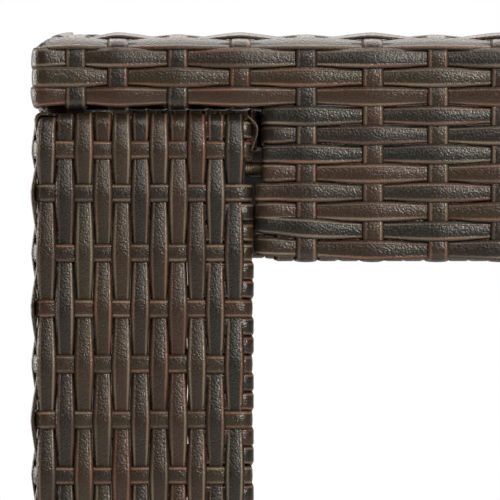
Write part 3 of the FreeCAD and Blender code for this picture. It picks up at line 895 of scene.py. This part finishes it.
@dataclass
class LegSkin(WovenSkin):
    """Woven skin of one angle leg, laid out on the front left leg and mirrored to the others.

    The leg's own frame has the leg's outer corner at 0, 0.
    """

    upright_seed: int = 142668
    band_seed: int = 31
    strand_count: int = 11
    first_strand: float = 6.0
    strand_pitch: float = 7.84
    skin_middle: float = 1.5
    fold_drop: float = 0.7
    fold_length: float = 20.0
    fold_radius: float = 5.0
    edge_radius: float = 4.5
    band_drops: tuple[float, float, float] = (16.0, 34.0, 59.0)
    band_pitch: float = 23.2
    band_tail: float = 20.0
    wraps_between_bands: int = 2
    wrap_depth: float = 2.6
    wrap_margin: float = 0.2
    wrap_wander: float = 0.25
    bolt_room: float = 8.0
    rung_room: float = 4.0
    rung_height: float = 12.0
    least_rung_pitch: float = 20.0
    top_wander: float = 0.6
    corner_lean: float = 0.9
    lean_reach: float = 4.0
    corner_fold: float = 5.6
    corner_tuck: float = 1.3
    upright: StrandKind = StrandKind(width=8.4, lift=1.6, narrowing=0.2, wander=0.2, step=3.0)
    band: StrandKind = StrandKind(width=7.9, lift=0.4, wander=0.2, step=1.95, fade=5.0)
    wrap: StrandKind = StrandKind(width=8.3, thickness=1.5, step=8.0, section=PLAIN_SECTION)
    loose_end: StrandKind = StrandKind(width=2.6, thickness=0.8, step=1.5, section=PLAIN_SECTION)
    loose_bow: tuple[tuple[float, float], ...] = ((2.4, 1.6), (-2.0, 6.0), (-1.6, 10.0), (0.6, 16.5))
    loose_radius: float = 6.0
    loose_depth: float = 2.4

    def __post_init__(self) -> None:
        """Read the leg's sizes from the frame."""
        self.space = Space.of("leg_weave_front_left")
        tube = Space.of("leg_front_tube_front_left")
        self.width = self.space.size.x
        self.sleeve_margin = self.space.high.x - tube.high.x
        self.sleeve_depth = 2 * self.sleeve_margin + tube.size.x
        self.sleeve_back = self.sleeve_depth - self.fold_drop
        self.centres = [self.first_strand + self.strand_pitch * index for index in range(self.strand_count)]
        self.bands = [self.space.high.z - drop for drop in self.band_drops]
        while self.bands[-1] - self.band_pitch > self.space.low.z + self.band_drops[0]:
            self.bands.append(self.bands[-1] - self.band_pitch)
        self.bolts = bolt_heights()
        self.rungs = self.rung_heights()

    def rung_heights(self) -> list[float]:
        """Find the rungs behind the skin.

        Returns:
            Heights of their lower sides.
        """
        data = frame["nodes"]["leg_rungs_front_left"].data
        heights = sorted({round(vertex.co.z / MM, 1) for vertex in data.vertices})
        lows = heights[:1]
        for height in heights:
            if height - lows[-1] > self.least_rung_pitch:
                lows.append(height)
        return lows

    def turn(self, corner: Corner) -> Matrix:
        """Change of place from the leg's own frame to a corner of the table."""
        place = Matrix.Translation(Vector((self.space.low.x, self.space.low.y, 0.0)) * MM)
        return Matrix.Diagonal((*corner.value, 1.0, 1.0)) @ place

    def build(self) -> list[Piece]:
        """Lay the skin of all four legs.

        Returns:
            Two pieces for each leg.
        """
        pieces = []
        for corner in Corner:
            for bundle in (self.uprights(corner), self.bands_and_wraps(corner)):
                pieces.append(self.piece(bundle, self.turn(corner), [f"leg_weave_{corner.node_end}"]))
        return pieces

    def uprights(self, corner: Corner) -> StrandBundle:
        """Upright strands of both faces, turned over both ends of the leg.

        Args:
            corner: Leg that the bundle is for.

        Returns:
            The bundle, in the leg's own frame.
        """
        bundle = StrandBundle(f"leg_strands_{corner.node_end}", self.upright_seed + corner.number)
        middle = self.skin_middle
        low, high = self.space.low.z + self.fold_drop, self.space.high.z - self.fold_drop
        for on_side in (False, True):
            axes = (X_AXIS, Z_AXIS, Y_AXIS) if on_side else UPRIGHT
            for index, centre in enumerate(self.centres):
                tuck = self.corner_tuck if index == 0 and not on_side else 0.0
                fold = middle + min(self.fold_length, max(centre - self.fold_radius, self.corner_fold))
                top = high - tuck - abs(float(bundle.chance.normal(0.0, self.top_wander)))
                foot = low + tuck
                corners = [(fold, foot), (middle, foot), (middle, top), (fold, top)]
                course = Course.through(corners, self.fold_radius, self.upright.step)
                crossings = [
                    (course.station((middle, height)), over_under(index + row + on_side))
                    for row, height in enumerate(self.bands)
                ]
                place = centre
                if index == 0:
                    to_end = np.minimum(course.points[:, 1] - low, high - course.points[:, 1])
                    place = centre + self.corner_lean * np.exp(-((to_end / self.lean_reach) ** 2))
                bundle.follow(self.upright, course, axes, place, crossings)
        return bundle

    def bands_and_wraps(self, corner: Corner) -> StrandBundle:
        """Level bands across both faces and the wraps round both edge tubes.

        Args:
            corner: Leg that the bundle is for.

        Returns:
            The bundle, in the leg's own frame.
        """
        bundle = StrandBundle(f"leg_bands_{corner.node_end}", self.band_seed + corner.number)
        middle, outer = self.skin_middle, self.width - self.fold_drop
        half = [(outer - self.band_tail, self.sleeve_back), (outer, self.sleeve_back), (outer, middle)]
        corners = half + [(middle, middle)] + [(y, x) for x, y in reversed(half)]
        course = Course.through(corners, self.edge_radius, self.band.step)
        for row, height in enumerate(self.bands):
            crossings = []
            for index, centre in enumerate(self.centres):
                crossings.append((course.station((centre, middle)), over_under(index + row + 1)))
                crossings.append((course.station((middle, centre)), over_under(index + row)))
            bundle.follow(self.band, course, LEVEL, height, crossings)
        for height in self.wrap_heights():
            self.lay_wrap(bundle, height)
        if corner is Corner.FRONT_LEFT:
            self.lay_loose_end(bundle)
        return bundle

    def lay_loose_end(self, bundle: StrandBundle) -> None:
        """Lay the winding's loose end, which bows out beside the top of the edge tube.

        Args:
            bundle: Bundle that takes it.
        """
        points = [(self.width - margin, self.space.high.z - drop) for margin, drop in self.loose_bow]
        course = Course.through(points, self.loose_radius, self.loose_end.step)
        bundle.follow(self.loose_end, course, (X_AXIS, Z_AXIS, Y_AXIS), self.loose_depth)

    def wrap_heights(self) -> list[float]:
        """Space the wraps between the bands, clear of the bolts.

        Returns:
            Heights of the wraps.
        """
        stops = [self.space.high.z, *self.bands, self.space.low.z]
        heights = []
        for upper, lower in zip(stops, stops[1:]):
            count = max(1, round((upper - lower) / self.band_pitch * (self.wraps_between_bands + 1)) - 1)
            heights += [upper - (upper - lower) * (index + 1) / (count + 1) for index in range(count)]
        return [
            height for height in heights if all(abs(height - bolt) > self.bolt_room for bolt in self.bolts)
        ]

    def lay_wrap(self, bundle: StrandBundle, height: float) -> None:
        """Lay one wrap round each edge tube, open on the inner side where a rung is in its way.

        Args:
            bundle: Bundle that takes the wraps.
            height: Height of the wrap.
        """
        inner, outer = self.width - self.sleeve_back, self.width - self.wrap_margin
        back, front = self.sleeve_back, self.wrap_depth
        room, rung_top = self.rung_room, self.rung_room + self.rung_height
        blocked = any(rung - room < height < rung + rung_top for rung in self.rungs)
        corners = [(inner, back), (outer, back), (outer, front), (inner, front)]
        course = Course.through(corners, self.edge_radius, self.wrap.step, closed=not blocked)
        place = height + float(bundle.chance.normal(0.0, self.wrap_wander))
        bundle.follow(self.wrap, course, LEVEL, place)
        bundle.follow(self.wrap, course, (Y_AXIS, X_AXIS, Z_AXIS), place)


@dataclass(frozen=True)
class RimRow:
    """One row round the rim: its place, its tilt, its rise, its swing over and under, its corner bulge."""

    inset: float
    drop: float
    tilt: float
    rise: float = 0.0
    swing: float = 0.0
    bulge: float = 0.0


@dataclass
class RimSkin(WovenSkin):
    """Rows that go all round the rim, and the sizes of the top frame that the aprons share.

    The rows are numbered down the front from 0, and from -1 over the upper face. A face row has a tilt and a
    bulge.
    """

    seed: int = 54401
    row_pitch: float = 8.0
    first_row_drop: float = 10.0
    face_rows: tuple[tuple[float, float], ...] = ((4.0, 0.0), (0.0, 0.6), (-9.0, 0.1))
    upper_rows: tuple[RimRow, ...] = (
        RimRow(inset=4.9, drop=4.4, tilt=55.0, rise=0.65, swing=0.6),
        RimRow(inset=12.2, drop=1.8, tilt=77.0, rise=0.7, swing=1.6),
        RimRow(inset=19.9, drop=0.9, tilt=87.0, swing=1.25),
        RimRow(inset=27.2, drop=1.2, tilt=95.0, swing=1.25),
    )
    skin_middle: float = 1.5
    corner_radius: float = 5.0
    upper_rounding: float = 0.5
    end_stakes: tuple[float, ...] = (18.2, 35.6, 60.7, 86.7, 114.4, 142.1, 169.4)
    stake_pitch: float = 27.2
    corner_droop: float = 1.0
    droop_reach: float = 9.0
    ring_fade: float = 10.0
    row: StrandKind = StrandKind(width=8.9, lift=1.25, narrowing=0.22, wander=0.25, step=3.3, strong_edge=-1)

    def __post_init__(self) -> None:
        """Read the top frame's sizes from the frame."""
        self.table = Vector(CAD_HIGH) / MM
        rail, rim = Space.of("apron_rail_front"), Space.of("rim_tube_front")
        skin = Space.of("apron_weave_front")
        cover = rail.low.z - skin.low.z
        self.top = self.table.z
        self.bottom = skin.low.z
        self.rim_depth = skin.size.y
        self.rim_bottom = rim.low.z - (rim.low.y - skin.low.y)
        self.rail_top = rail.high.z + cover
        self.rail_depth = rail.high.y - skin.low.y + cover
        bars = [Space.of(f"cross_bar_{place}") for place in ("left", "middle", "right")]
        self.bars = [(bar.low.x + bar.high.x) / 2 for bar in bars]
        self.bolt_height = bolt_heights()[1]

    def half(self, side: Side) -> float:
        """Half the length of a side."""
        return self.table.x if side.is_long else self.table.y

    def reach(self, side: Side) -> float:
        """Distance of a side's face from the middle of the table."""
        return self.table.y if side.is_long else self.table.x

    def row_drop(self, number: int) -> float:
        """Drop of a face or apron row below the top of the table."""
        return self.first_row_drop + self.row_pitch * number

    def stakes(self, side: Side) -> list[float]:
        """Places along a side of its upright strands, an even number of them.

        Args:
            side: The side.

        Returns:
            Places from the side's middle.
        """
        half = self.half(side)
        span = 2 * (half - self.end_stakes[-1])
        spaces = round(span / self.stake_pitch)
        spaces += 1 - spaces % 2
        ends = [-half + end for end in self.end_stakes]
        between = [ends[-1] + span * index / spaces for index in range(1, spaces)]
        return ends + between + [-end for end in reversed(ends)]

    def build(self) -> list[Piece]:
        """Lay the rows on the rim's front, its edge and its upper face.

        Returns:
            The piece of all rows.
        """
        bundle = StrandBundle("rim_rows", self.seed)
        for number, (tilt, bulge) in enumerate(self.face_rows):
            row = RimRow(self.skin_middle, self.row_drop(number), tilt, swing=self.row.lift, bulge=bulge)
            self.lay_ring(bundle, row, number, self.corner_radius)
        for index, row in enumerate(self.upper_rows):
            self.lay_ring(bundle, row, -1 - index, self.upper_rounding * row.inset)
        return [self.piece(bundle, replaced=[f"apron_weave_{side.node_end}" for side in Side])]

    def lay_ring(self, bundle: StrandBundle, row: RimRow, number: int, radius: float) -> None:
        """Lay one row round the table.

        Args:
            bundle: Bundle that takes it.
            row: The row.
            number: Its number.
            radius: Radius of its corners.
        """
        x, y = self.table.x - row.inset, self.table.y - row.inset
        course = Course.through([(x, -y), (-x, -y), (-x, y), (x, y)], radius, self.row.step, closed=True)
        heights = undulation(course.reach, self.ring_crossings(course, number), self.ring_fade)
        outward = np.column_stack((course.facing, np.zeros(len(course.reach))))
        rise, run = math.sin(math.radians(row.tilt)), math.cos(math.radians(row.tilt))
        face = outward * run + Z_AXIS * rise
        edge = Z_AXIS * run - outward * rise
        off_corner = np.abs(np.array(self.table.xy) - np.abs(course.points)).max(axis=1)
        at_corner = np.exp(-((off_corner / self.droop_reach) ** 2))
        droop = self.corner_droop if number < 0 else 0.0
        spine = np.column_stack((course.points, self.top - row.drop - droop * at_corner))
        spine += face * (row.rise + row.swing * heights + row.bulge * at_corner)[:, None]
        bundle.lay(self.row, spine, face, edge, self.row.widths(heights))

    def ring_crossings(self, course: Course, number: int) -> list[tuple[float, float]]:
        """Crossings of a row with the stakes of all four sides.

        Args:
            course: Course of the row.
            number: Number of the row.

        Returns:
            Distance and height share of each crossing.
        """
        crossings = []
        for side in Side:
            angle = math.radians(side.value)
            ahead = np.array((math.cos(angle), math.sin(angle)))
            outward = np.array((math.sin(angle), -math.cos(angle))) * self.reach(side)
            for index, place in enumerate(self.stakes(side)):
                crossings.append((course.station(ahead * place + outward), over_under(index + number + 1)))
            crossings.append((course.station(ahead * self.half(side) + outward), 1.0))
        return crossings


@dataclass
class ApronSkin(WovenSkin):
    """Rows, stakes and wraps of one side, with x along the side and y inwards from its face."""

    rim: RimSkin
    side: Side
    first_seed: int = 127298
    row_count: int = 11
    upper_end: float = 96.4
    lower_end: float = 93.4
    lower_rows_from: int = 7
    end_margin: float = 6.0
    curl_length: float = 18.0
    short_curl: float = 6.0
    row_bolt_room: float = 11.0
    end_lifts: tuple[float, ...] = (1.8, 3.0)
    end_lift_reach: float = 45.0
    end_lift_power: float = 1.5
    crown: tuple[tuple[float, float], ...] = ((1.5, 6.3), (7.4, 2.7), (15.3, 0.9))
    crown_back_drop: float = 1.3
    crown_bar_gap: float = 3.0
    upper_hump: float = 3.0
    under_lift: float = 1.1
    stake_under_end: float = 5.0
    stake_tail: float = 6.0
    stake_low: float = 0.6
    stake_radius: float = 3.5
    bar_room: float = 14.5
    wraps_between_stakes: int = 2
    wrap_wander: float = 0.3
    wrap_depth: float = 2.6
    wrap_inset: float = 0.7
    wrap_low: float = 0.8
    wrap_top_drop: float = 3.0
    wrap_top_reach: float = 8.0
    wrap_under_start: float = 13.0
    rim_wrap_radius: float = 3.0
    rail_wrap_radius: float = 4.0
    post_margin: float = 2.0
    post_wrap_start: float = 6.0
    post_wrap_low: float = 3.0
    post_bolt_room: float = 9.0
    gap_end: float = 93.9
    gap_depth: float = 14.0
    stake: StrandKind = StrandKind(width=9.2, lift=0.4, wander=0.15, step=2.0, fade=5.0)
    wrap: StrandKind = StrandKind(width=8.6, thickness=1.1, step=9.0, section=PLAIN_SECTION)

    def __post_init__(self) -> None:
        """Work out the side's sizes and start its bundle."""
        self.half = self.rim.half(self.side)
        self.end = self.half - self.upper_end
        self.under = self.rim.rim_bottom + self.under_lift
        self.stakes = self.rim.stakes(self.side)
        self.bundle = StrandBundle(f"apron_strands_{self.side.node_end}", self.first_seed + self.side.number)

    def build(self) -> list[Piece]:
        """Lay the apron and turn it to its side.

        Returns:
            The piece of the whole apron.
        """
        self.lay_rows()
        self.lay_stakes()
        self.lay_rail_wraps()
        self.lay_post_wraps()
        turn = Matrix.Rotation(math.radians(self.side.value), 4, "Z")
        place = Matrix.Translation((0.0, -self.rim.reach(self.side) * MM, 0.0))
        return [self.piece(self.bundle, turn @ place)]

    def on_apron(self, place: float) -> bool:
        """Whether a place along the side is between the apron's ends."""
        return abs(place) < self.end - self.end_margin

    def at_bar(self, place: float) -> bool:
        """Whether a cross bar meets the rim at a place along the side."""
        return self.side.is_long and any(abs(place - bar) < self.bar_room for bar in self.rim.bars)

    def lay_rows(self) -> None:
        """Lay the level rows below the rim, curled round the end posts."""
        rim, middle = self.rim, self.rim.skin_middle
        for number in range(len(rim.face_rows), self.row_count):
            level = rim.top - rim.row_drop(number)
            end = self.half - (self.lower_end if number >= self.lower_rows_from else self.upper_end)
            near_bolt = abs(level - rim.bolt_height) < self.row_bolt_room
            depth = self.short_curl if near_bolt else rim.rail_depth - middle
            corners = [(end, depth), (end, middle), (-end, middle), (-end, depth)]
            if not near_bolt:
                curl_end = end - self.curl_length
                corners = [(curl_end, depth), *corners, (-curl_end, depth)]
            course = Course.through(corners, rim.corner_radius, rim.row.step)
            crossings = [
                (course.station((place, middle)), over_under(index + number + 1))
                for index, place in enumerate(self.stakes)
                if self.on_apron(place)
            ]
            height = level + self.end_lift(number, end - np.abs(course.points[:, 0]))
            self.bundle.follow(rim.row, course, LEVEL, height, crossings)

    def end_lift(self, number: int, from_end: np.ndarray) -> np.ndarray:
        """Rise of the lowest rows towards their ends.

        Args:
            number: Number of the row.
            from_end: Distances from the row's end.

        Returns:
            The rise at each distance.
        """
        from_bottom = self.row_count - 1 - number
        rise = self.end_lifts[from_bottom] if from_bottom < len(self.end_lifts) else 0.0
        return rise * np.clip(1 - from_end / self.end_lift_reach, 0.0, 1.0) ** self.end_lift_power

    def over_rim(self, place: float) -> list[tuple[float, float]]:
        """Path of a stake over the rim and back under it, which ends early at a cross bar.

        Args:
            place: Place of the stake along the side.

        Returns:
            Corners of the path, in depth and height.
        """
        rim = self.rim
        inner, back = rim.rim_depth - rim.skin_middle, rim.top - self.crown_back_drop
        corners = [(depth, rim.top - drop) for depth, drop in self.crown]
        if self.at_bar(place):
            return corners + [(inner - self.crown_bar_gap, back)]
        return corners + [(inner, back), (inner, self.under), (self.stake_under_end, self.under)]

    def lay_stakes(self) -> None:
        """Lay the upright strands over the rim and, between the legs, down the apron and round its rail."""
        rim, middle = self.rim, self.rim.skin_middle
        low, rail_back = rim.bottom + self.stake_low, rim.rail_depth - middle
        for index, place in enumerate(self.stakes):
            if self.on_apron(place):
                rows = self.row_count
                start = [(rail_back, rim.rail_top - self.stake_tail), (rail_back, low), (middle, low)]
            else:
                rows = len(rim.face_rows)
                start = [(rim.rim_depth - self.stake_tail, self.under), (middle, self.under)]
            course = Course.through(start + self.over_rim(place), self.stake_radius, self.stake.step)
            crossings = [
                (course.station((middle, rim.top - rim.row_drop(number))), over_under(index + number))
                for number in range(rows)
            ]
            for number, row in enumerate(rim.upper_rows):
                height = self.upper_hump if (index + number) % 2 == 1 else -1.0
                crossings.append((course.station((row.inset, rim.top - row.drop)), height))
            self.bundle.follow(self.stake, course, UPRIGHT, place, crossings)

    def lay_rail_wraps(self) -> None:
        """Lay the wraps round the rail and the inner part of the rim, between neighbouring stakes."""
        rim, wrap = self.rim, self.wrap
        inner, over = rim.rim_depth - self.wrap_inset, rim.top - self.wrap_top_drop
        front, back = self.wrap_depth, rim.rail_depth - self.wrap_inset
        low, high = rim.bottom + self.wrap_low, rim.rail_top - self.wrap_inset
        rim_corners = [(inner - self.wrap_top_reach, over), (inner, over)]
        rim_corners += [(inner, self.under), (self.wrap_under_start, self.under)]
        rail_corners = [(front, low), (front, high), (back, high), (back, low)]
        rim_course = Course.through(rim_corners, self.rim_wrap_radius, wrap.step)
        rail_course = Course.through(rail_corners, self.rail_wrap_radius, wrap.step, closed=True)
        spaces = self.wraps_between_stakes + 1
        for start, end in zip(self.stakes, self.stakes[1:]):
            for number in range(1, spaces):
                place = start + (end - start) * (number / spaces)
                place += float(self.bundle.chance.normal(0.0, self.wrap_wander))
                if not self.at_bar(place):
                    self.bundle.follow(wrap, rim_course, UPRIGHT, place)
                if self.on_apron(place):
                    self.bundle.follow(wrap, rail_course, UPRIGHT, place)

    def lay_post_wraps(self) -> None:
        """Lay the wraps round the two end posts, clear of their bolts."""
        rim, front = self.rim, self.wrap_depth
        inner = self.end - (rim.rail_depth - self.post_margin)
        gap, back = self.half - self.gap_end, rim.rail_depth - self.wrap_inset
        corners = [(self.end - self.post_wrap_start, front), (inner, front), (inner, back), (gap, back)]
        corners.append((gap, self.gap_depth))
        for sign in (1, -1):
            turned = [(sign * x, y) for x, y in corners[::-sign]]
            course = Course.through(turned, self.rail_wrap_radius, self.wrap.step)
            height = rim.rim_bottom - self.wrap.width / 2
            while height > rim.rail_top + self.post_wrap_low:
                if abs(height - rim.bolt_height) > self.post_bolt_room:
                    self.bundle.follow(self.wrap, course, LEVEL, height)
                height -= rim.row_pitch


@dataclass
class FootRailSkin(WovenSkin):
    """Strand wound round each foot rail from end to end."""

    first_seed: int = 81
    pitch: float = 7.9
    end_margin: float = 4.2
    edge_radius: float = 4.0
    strand: StrandKind = StrandKind(width=7.7, thickness=1.2, step=8.0, section=PLAIN_SECTION)

    def build(self) -> list[Piece]:
        """Wind all four rails.

        Returns:
            One piece for each rail.
        """
        pieces = []
        for side in Side:
            node = f"foot_rail_wrap_{side.node_end}"
            pieces.append(self.piece(self.winding(side, Space.of(node)), replaced=[node]))
        return pieces

    def winding(self, side: Side, space: Space) -> StrandBundle:
        """One winding, a flat course that moves on by one pitch each turn.

        Args:
            side: Side of the rail.
            space: Space of the rail's sleeve.

        Returns:
            The bundle.
        """
        bundle = StrandBundle(f"foot_rail_winding_{side.node_end}", self.first_seed + side.number)
        along, across = (X_AXIS, Y_AXIS) if side.is_long else (Y_AXIS, X_AXIS)
        low, high = np.array(space.low), np.array(space.high)
        middle = (low + high) / 2
        reach = (space.size.z - self.strand.thickness) / 2
        corners = [(-reach, -reach), (-reach, reach), (reach, reach), (reach, -reach)]
        ring = Course.through(corners, self.edge_radius, self.strand.step, closed=True)
        start, end = low @ along + self.end_margin, high @ along - self.end_margin
        turns = round((end - start) / self.pitch)
        points, facing = (np.vstack([line[:-1]] * turns + [line[:1]]) for line in (ring.points, ring.facing))
        places = np.linspace(start, end, len(points))
        centre = middle - along * (middle @ along)
        spine = centre + points[:, :1] * across + points[:, 1:] * Z_AXIS + places[:, None] * along
        face = facing[:, :1] * across + facing[:, 1:] * Z_AXIS
        widths = np.full(len(points), self.strand.width)
        bundle.lay(self.strand, spine, face, np.tile(along, (len(points), 1)), widths)
        return bundle


@dataclass
class BoltThreads:
    """Thread ridges on the leg bolts where they cross from the legs to the aprons and foot rails."""

    finishes: Finishes
    legs: LegSkin
    pitch: float = 1.0
    core: float = 2.95
    crest: float = 3.35
    sides: int = 12
    steps_per_turn: int = 4
    length: float = 12.0

    def build(self) -> list[Piece]:
        """Make the threads of all bolts.

        Returns:
            The piece of all threads.
        """
        across = self.legs.width - self.legs.sleeve_margin
        mesh = bmesh.new()
        for corner in Corner:
            for height in self.legs.bolts:
                start = Vector((across, self.legs.sleeve_depth / 2, height))
                for swapped in (False, True):
                    self.add_thread(mesh, self.legs.turn(corner), start, swapped)
        bmesh.ops.remove_doubles(mesh, verts=mesh.verts, dist=MERGE_DISTANCE)
        bmesh.ops.recalc_face_normals(mesh, faces=mesh.faces)
        data = bpy.data.meshes.new("bolt_threads")
        mesh.to_mesh(data)
        mesh.free()
        piece = new_piece(data)
        self.finishes.dress(piece, BOLT_SLOT)
        return [piece]

    def add_thread(self, mesh: bmesh.types.BMesh, turn: Matrix, start: Vector, swapped: bool) -> None:
        """Add one threaded stretch, a grid rolled round the bolt's axis with a ridge that winds along it.

        Args:
            mesh: Mesh that takes it.
            turn: Place of the leg.
            start: Start of the stretch on the bolt's axis, in the leg's own frame.
            swapped: Whether the bolt is in the leg's side face.
        """
        rows = round(self.length / self.pitch * self.steps_per_turn)
        made = bmesh.ops.create_grid(mesh, x_segments=self.sides, y_segments=rows, size=1.0)["verts"]
        for index, vertex in enumerate(made):
            row, column = divmod(index, self.sides + 1)
            angle = 2 * math.pi * (column % self.sides) / self.sides
            wave = abs((row / self.steps_per_turn + column / self.sides) % 1.0 - 0.5) * 2
            radius = self.core + (self.crest - self.core) * wave
            along = start.x + self.length * row / rows
            point = Vector((along, start.y + radius * math.cos(angle), start.z + radius * math.sin(angle)))
            vertex.co = turn @ ((point.yxz if swapped else point) * MM)


@dataclass(frozen=True)
class Lamp:
    """Soft square lamp, with its place from the point that it is turned to, in metres and watts."""

    name: str
    offset: tuple[float, float, float]
    size: float
    power: float

    def build(self, target: Vector) -> None:
        """Add the lamp.

        Args:
            target: Point that it is turned to.
        """
        data = bpy.data.lights.new(self.name, "AREA")
        data.size = self.size
        data.energy = self.power
        lamp = bpy.data.objects.new(self.name, data)
        lamp.location = target + Vector(self.offset)
        lamp.rotation_euler = (target - lamp.location).to_track_quat("-Z", "Y").to_euler()
        lamp.visible_camera = False
        bpy.context.scene.collection.objects.link(lamp)


@dataclass
class Studio:
    """White studio with soft lamps, and the camera of the close view. Lengths are in metres."""

    pixels_per_mm: float = 2.4
    image_size: float = 500.0
    corner_pixel: tuple[float, float] = (32.0, 34.0)
    camera_distance: float = 1.5
    camera_turn: float = -1.0
    camera_reach: float = 100.0
    target_offset: tuple[float, float, float] = (0.1, 0.0, -0.1)
    lamps: tuple[Lamp, ...] = (
        Lamp("key", offset=(1.05, -1.7, 0.6), size=0.4, power=31.0),
        Lamp("front", offset=(0.15, -1.6, 1.1), size=0.9, power=12.0),
        Lamp("overhead", offset=(0.3, 0.7, 1.7), size=2.2, power=57.0),
        Lamp("left_side", offset=(-2.0, 0.6, 0.3), size=1.2, power=44.0),
    )
    room_span: Span = (-0.4, 0.6, 0.06, 0.8)
    backdrop_span: Span = (-0.1, 0.6, 0.06, 1.0)
    floor_size: float = 12.0
    floor_fade: tuple[float, float] = (0.9, 2.6)
    floor_noise: tuple[float, float] = (3.0, 2.0)
    floor_shades: tuple[Colour, Colour] = ((0.84, 0.84, 0.84), (0.87, 0.87, 0.87))
    floor_roughness: float = 0.9

    def build(self) -> None:
        """Set up the camera, the world, the lamps and the floor."""
        self.add_camera()
        self.add_world()
        target = Vector((CAD_LOW.x, CAD_LOW.y, CAD_HIGH.z)) + Vector(self.target_offset)
        for lamp in self.lamps:
            lamp.build(target)
        self.add_floor()
        bpy.context.scene.view_settings.view_transform = "Standard"

    def add_camera(self) -> None:
        """Place the camera a little to the left of square, so that the table's corner falls on its pixel."""
        data = bpy.data.cameras.new("camera")
        turn = math.radians(self.camera_turn)
        frame_width = self.image_size / self.pixels_per_mm * MM * math.cos(turn)
        data.lens = data.sensor_width * self.camera_distance / frame_width
        data.clip_end = self.camera_reach
        camera = bpy.data.objects.new("camera", data)
        middle = self.image_size / 2
        across, down = ((middle - pixel) / self.pixels_per_mm * MM for pixel in self.corner_pixel)
        back = Vector((math.sin(turn), -math.cos(turn), 0.0)) * self.camera_distance
        camera.location = Vector((CAD_LOW.x + across, CAD_LOW.y, CAD_HIGH.z - down)) + back
        camera.rotation_euler = (math.pi / 2, 0.0, turn)
        bpy.context.scene.collection.objects.link(camera)
        bpy.context.scene.camera = camera

    def add_world(self) -> None:
        """White background behind the object, with a dimmer room on the camera's side."""
        world = bpy.data.worlds.new("studio")
        bpy.context.scene.world = world
        world.use_nodes = True
        sheet = NodeSheet(world.node_tree)
        direction = sheet.add("ShaderNodeSeparateXYZ", {"Vector": sheet.coordinates("Generated")})
        room, backdrop = (
            sheet.spread(direction.outputs["Y"], *span) for span in (self.room_span, self.backdrop_span)
        )
        mirrored = sheet.math("MULTIPLY", sheet.rays("Glossy"), backdrop)
        seen = sheet.math("MAXIMUM", sheet.rays("Camera", "Transmission"), mirrored)
        strength = sheet.math("MAXIMUM", seen, room)
        background = sheet.add("ShaderNodeBackground", {"Color": WHITE, "Strength": strength})
        sheet.add("ShaderNodeOutputWorld", {"Surface": background.outputs[0]})

    def add_floor(self) -> None:
        """Add the pale floor, which keeps the table's shadow and goes over into the white background."""
        mesh = bmesh.new()
        bmesh.ops.create_grid(mesh, x_segments=1, y_segments=1, size=self.floor_size / 2)
        data = bpy.data.meshes.new("floor")
        mesh.to_mesh(data)
        mesh.free()
        floor = bpy.data.objects.new("floor", data)
        bpy.context.scene.collection.objects.link(floor)
        material, sheet = new_material("floor_paint")
        place = sheet.coordinates()
        distance = sheet.add("ShaderNodeVectorMath", {"Vector": place}, operation="LENGTH").outputs["Value"]
        seen = sheet.rays("Camera", "Transmission")
        far = sheet.math("MULTIPLY", seen, sheet.spread(distance, *self.floor_fade, 0.0, 1.0))
        paint = sheet.blend(sheet.noise(place, *self.floor_noise), *self.floor_shades)
        sheet.surface({
            "Base Color": sheet.blend(far, paint, BLACK),
            "Emission Color": WHITE,
            "Emission Strength": far,
            "Roughness": self.floor_roughness,
        })
        data.materials.append(material)


def main() -> None:
    """Dress the table, report each piece and set up the studio."""
    logging.basicConfig(level=logging.INFO, format="%(name)s %(message)s")
    finishes = Finishes()
    finishes.dress_cad()
    legs, rim = LegSkin(finishes), RimSkin(finishes)
    aprons = [ApronSkin(finishes, rim, side) for side in Side]
    for part in (legs, rim, *aprons, FootRailSkin(finishes), BoltThreads(finishes, legs)):
        for piece in part.build():
            LOG.info("%s: %d faces", piece.name, len(piece.data.polygons))
    Studio().build()


if __name__ == "__main__":
    main()
